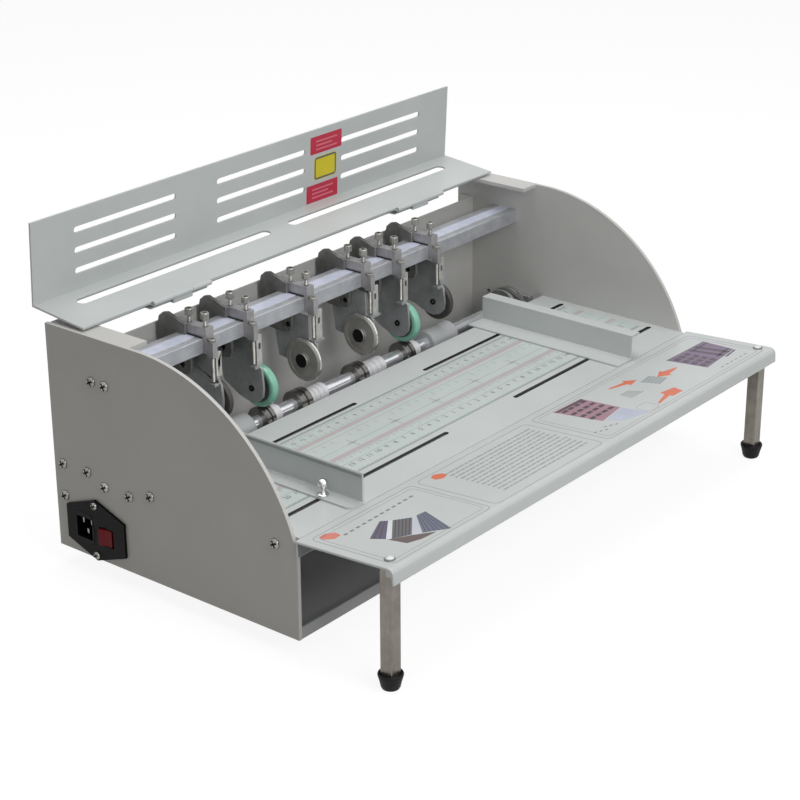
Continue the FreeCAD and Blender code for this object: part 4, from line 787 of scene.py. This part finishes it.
# Near-black for axle sockets, axle screws, pivot bolts and the inlet's socket mouth: painted shade of holes.
bore_shade_paint = moulded("shadowed_bore", "121212", "0c0c0c", 0.7, shine=0.2)
steel_radius, steel_width = 17.6, 4.2
soft_wheels = {1: (8, 16.2, 4.8), 2: (10.5, 17.4, 7.5), 5: (8, 17.4, 7.5), 6: (8, 16.2, 4.8)}
axle_heights, wheel_back = (99.8, 95.0, 99.3, 99.3, 95.0, 99.8), 172.0
for number, (place, high) in enumerate(zip(station_places, axle_heights), start=1):
    tag = str(number)
    if number in (3, 4):
        start, r = place - steel_width - 0.3, steel_radius
        side = at(start, wheel_back, high)
        disc = [(0, 4.2), (0, 6.6), (0.25, 6.8), (0.25, r - 4.6), (0, r - 4.3), (0, r - 2.0), (1.3, r - 0.15),
                (1.5, r), (2.7, r), (2.9, r - 0.15), (steel_width, r - 1.6), (steel_width, 4.2)]
        bm = lathe(disc, "x", side, 72, closed=True)
        for face in bm.faces:
            out = (face.calc_center_median() - side).yz.length * 1000
            face.material_index = 1 if out > r - 0.2 else 0
        mesh_piece("creasing_wheel_" + tag, bm, [ground_steel, rim_steel], "wheel_" + tag, 25,
                   ["wheel_" + tag])
        ring = lathe([(-0.15, 5.6), (-0.3, 5.8), (-0.3, 6.2), (0, 6.4), (0.5, 6.4), (0.5, 5.6)], "x",
                     at(start - 1.6, wheel_back, high), 40, closed=True)
        mesh_piece("axle_ring_" + tag, ring, ground_steel, "arm_" + tag, 30)
        plug = lathe([(0.05, 0), (-0.1, 2.6), (-0.25, 5.5), (0.3, 5.7), (0.4, 0)], "x",
                     at(start - 1.75, wheel_back, high), 12)
        mesh_piece("axle_socket_" + tag, plug, bore_shade_paint, "arm_" + tag, 30)
    else:
        start, r, w = soft_wheels[number]
        if number in (2, 5):
            hub_radius, colour, slot_name, crown = 13.0, green_tread, "green_tread", 2.6
        else:
            hub_radius, colour, slot_name, crown = 8.0, dark_tread, "dark_tread", 1.2
        tread = [(0.2, hub_radius), (0, hub_radius + 0.4)]
        tread += [(crown + a, r - crown * 0.8 + b * 0.8) for a, b in arc(0, 0, crown, 180, 90, 5)]
        tread += [(w - crown - a, r - crown * 0.8 + b * 0.8) for a, b in arc(0, 0, crown, 90, 180, 5)]
        tread += [(w, hub_radius + 0.4), (w - 0.2, hub_radius)]
        hub = [(0.5, 4.2), (0.5, hub_radius - 0.4), (0.3, hub_radius), (w - 1, hub_radius), (w - 1, 4.2)]
        side = at(place + start, wheel_back, high)
        mesh_piece("tread_" + tag, lathe(tread, "x", side, 72, closed=True), colour, "wheel_" + tag,
                   50, ["wheel_" + tag])
        mesh_piece("hub_" + tag, lathe(hub, "x", side, 40, closed=True), hub_steel, "wheel_" + tag,
                   30)
        stud = lathe([(0.3, 0), (0.3, 2.6), (-0.8, 2.4), (-1.0, 1.9), (-1.0, 1.3), (0, 1.2), (0, 0)], "x",
                     at(place + 5.5, wheel_back, high), 24)
        mesh_piece("axle_screw_" + tag, stud, bore_shade_paint, "arm_" + tag, 30)
    y, z = (187.9, 125.2) if number in (3, 4) else (192.6, 126.6)
    bolt = lathe([(0.3, 0), (0.3, 2.3), (-0.3, 2.1), (-0.5, 1.5), (-0.5, 1.1), (-0.1, 1.0), (-0.1, 0)], "x",
                 at(place - 2.5, y, z), 24)
    mesh_piece("pivot_bolt_" + tag, bolt, bore_shade_paint, "station_" + tag, 30)

# Lower shaft: ground and chromed steel, with rubber feed rollers, oiled steel die discs with
# white acetal collars, and ringed acetal sleeves under the steel creasing wheels.
chrome = metal("ground_chromed_shaft", "fcfdff", "eceef6", 0.18, (0.02, 1, 1), 1500.0, 0.00001, 0.7)
roller_skin = moulded("light_grey_rubber", "c3c5c6", "b2b5b6", 0.5, 500.0)
acetal = moulded("white_acetal", "f4f4f6", "e6e6ea", 0.3)
dark_disc = metal("oiled_tool_steel", "8a8885", "6f6d6a", 0.24, lines=600.0, metallic=0.9)
shaft_back, shaft_high, shaft_radius = wheel_back, 65.6, 5.5
roller_radius, collar_radius, sleeve_radius = 11.3, 7.5, 8.0


def on_shaft(profile, x, steps=56):
    """A ring on the shaft: profile (along, radius), closed down to the shaft."""
    first, last = profile[0][0], profile[-1][0]
    closed_down = [(first, shaft_radius)] + profile + [(last, shaft_radius)]
    return lathe(closed_down, "x", at(x, shaft_back, shaft_high), steps, closed=True)


rod_length = width - 6.6
rod = lathe([(0, 0), (0, 4.9), (0.6, shaft_radius), (rod_length - 0.6, shaft_radius), (rod_length, 4.9),
             (rod_length, 0)], "x", at(3.3, shaft_back, shaft_high), 40)
mesh_piece("ground_shaft", rod, chrome, "lower_shaft", 30, ["feed_shaft"])
rollers, discs, collars, sleeves = [], [], [], []
for start, stop in ((104, 137), (356, 389)):
    long = stop - start
    rollers.append(on_shaft([(0, roller_radius - 0.9), (0.9, roller_radius), (long - 0.9, roller_radius),
                             (long, roller_radius - 0.9)], start))
for start, stop in ((149.5, 160), (190, 203), (260, 272), (321.5, 332)):
    long = stop - start
    discs.append(on_shaft([(0, roller_radius - 0.6), (0.6, roller_radius), (long / 2 - 0.9, roller_radius),
                           (long / 2 - 0.5, roller_radius - 1.1), (long / 2 + 0.5, roller_radius - 1.1),
                           (long / 2 + 0.9, roller_radius), (long - 0.6, roller_radius),
                           (long, roller_radius - 0.6)], start))
for start, stop in ((160, 171), (332, 343)):
    long = stop - start
    collars.append(on_shaft([(0, collar_radius), (long - 1, collar_radius), (long, collar_radius - 1)],
                            start))
for start, stop in ((204, 225), (273, 297)):
    long = stop - start
    ringed = [(0, 7.3), (0.7, sleeve_radius)]
    for index in range(3):
        groove = long * (0.2 + 0.25 * index)
        ringed += [(groove, sleeve_radius), (groove + 0.3, 7.2), (groove + 1.0, 7.2),
                   (groove + 1.3, sleeve_radius)]
    sleeves.append(on_shaft(ringed + [(long - 0.7, sleeve_radius), (long, 7.3)], start))
mesh_piece("rubber_feed_rollers", merge(rollers), roller_skin, "lower_shaft", 35,
           ["feed_rollers"])
mesh_piece("grooved_die_discs", merge(discs), dark_disc, "lower_shaft", 30, ["die_discs"])
mesh_piece("disc_collars", merge(collars), acetal, "lower_shaft", 30)
mesh_piece("ringed_sleeves", merge(sleeves), acetal, "lower_shaft", 30, ["die_sleeves"])
keep(("shaft_bearings",), block_alloy, 0.5)

# Drive: turned aluminium pulleys with two raised rings beside the belt's track and a near
# face drawn dark as painted shade, a flat grey-faced belt, and an enamelled motor on the tray.
turned_alloy = metal("turned_aluminium", "c6c9c4", "a8aba6", 0.34, lines=1200.0, metallic=0.6)
shaded_face = metal("pulley_face_painted_shade", "7f827d", "6c6f6a", 0.45, lines=900.0, metallic=0.4)
pulley_start = (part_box("shaft_pulley")[0][0] - corner.x) * 1000
rings = [(0, 3.0), (0, 16.4), (0.4, 17.0), (1.4, 17.0), (1.7, 15.0), (3.0, 15.0), (3.2, 16.0), (4.1, 16.0),
         (4.3, 14.95), (9.7, 14.95), (9.9, 16.0), (10.8, 16.0), (11.0, 15.0), (12.3, 15.0), (12.6, 17.0),
         (13.6, 17.0), (14, 16.4), (14, 3.0)]
motor_back, motor_high, motor_bore = 100.0, 36.0, 3.0
for name, body, y, z, bore in (("shaft_pulley", "lower_shaft", shaft_back, shaft_high, shaft_radius),
                               ("motor_pulley", "motor_drive", motor_back, motor_high, motor_bore)):
    turned = [(along, max(radius, bore)) for along, radius in rings]
    parts = [lathe(turned, "x", at(pulley_start, y, z), 64, closed=True)]
    if name == "motor_pulley":
        parts.append(lathe([(-22, 0), (-22, 2.6), (-21.6, 3.0), (17.5, 3.0), (18, 2.6), (18, 0)], "x",
                           at(pulley_start, y, z), 32))
    bm = merge(parts)
    for face in bm.faces:
        spot = (face.calc_center_median() - at(pulley_start, y, z)) * 1000
        face.material_index = 1 if abs(spot.x) < 0.05 and 3.2 < math.hypot(spot.y, spot.z) < 16 else 0
    mesh_piece("ringed_" + name, bm, [turned_alloy, shaded_face], body, 30, [name])
belt_cloth = moulded("grey_faced_belt", "696a68", "575856", 0.6, 500.0)
keep(("drive_belt",), belt_cloth, 0.3)
motor_enamel = powder_coat("motor_enamel", "3a3d40", "303335", 0.4)
keep(("motor",), motor_enamel, 0.8)

# Mains inlet: black moulded nylon flange with a glossy red rocker. A rounded funnel, drawn
# near-black as painted shade, lines the mouth of its socket, and three nickel-plated flat
# pins stand inside.
black_plastic = moulded("black_moulded_nylon", "0d0d0e", "090909", 0.34, 700.0, shine=0.08)
red_plastic = moulded("red_polycarbonate", "841a20", "641218", 0.2, 400.0, shine=0.12)
keep(("power_inlet",), black_plastic, 0.5)
keep(("rocker_switch",), red_plastic, 0.4)
socket_back, socket_high = inlet_back + 11.6, inlet_high - 1.5
mouth = [(-8, -8), (0, -8), (8, -8), (8, 0), (8, 9), (0, 9), (-8, 9), (-8, 0)]
rim = [(-9.3, -10.6), (0, -11.6), (9.3, -10.6), (10.3, 0), (7.6, 12.4), (0, 13), (-7.6, 12.4), (-10.3, 0)]
funnel = bmesh.new()
rows = [[funnel.verts.new(at(x, socket_back + a, socket_high + b)) for a, b in outline]
        for x, outline in ((-1.9, mouth), (-2.25, mouth), (-2.25, rim), (-1.9, rim))]
for first, second in zip(rows, rows[1:] + rows[:1]):
    for index in range(8):
        funnel.faces.new((first[index], first[index - 1], second[index - 1], second[index]))
bmesh.ops.recalc_face_normals(funnel, faces=funnel.faces)
mesh_piece("inlet_socket_mouth", funnel, bore_shade_paint, "frame", 30)
pin_root, pin_tip = 13, 0.9
pins = []
for y, z in ((socket_back - 4.5, socket_high + 4), (socket_back + 4.5, socket_high + 4),
             (socket_back, socket_high - 4)):
    pins.append(block((pin_tip, y - 1.1, z - 1.6), (pin_root, y + 1.1, z + 2.6), 0.4))
mesh_piece("inlet_pins", merge(pins), nickel, "frame", 30)
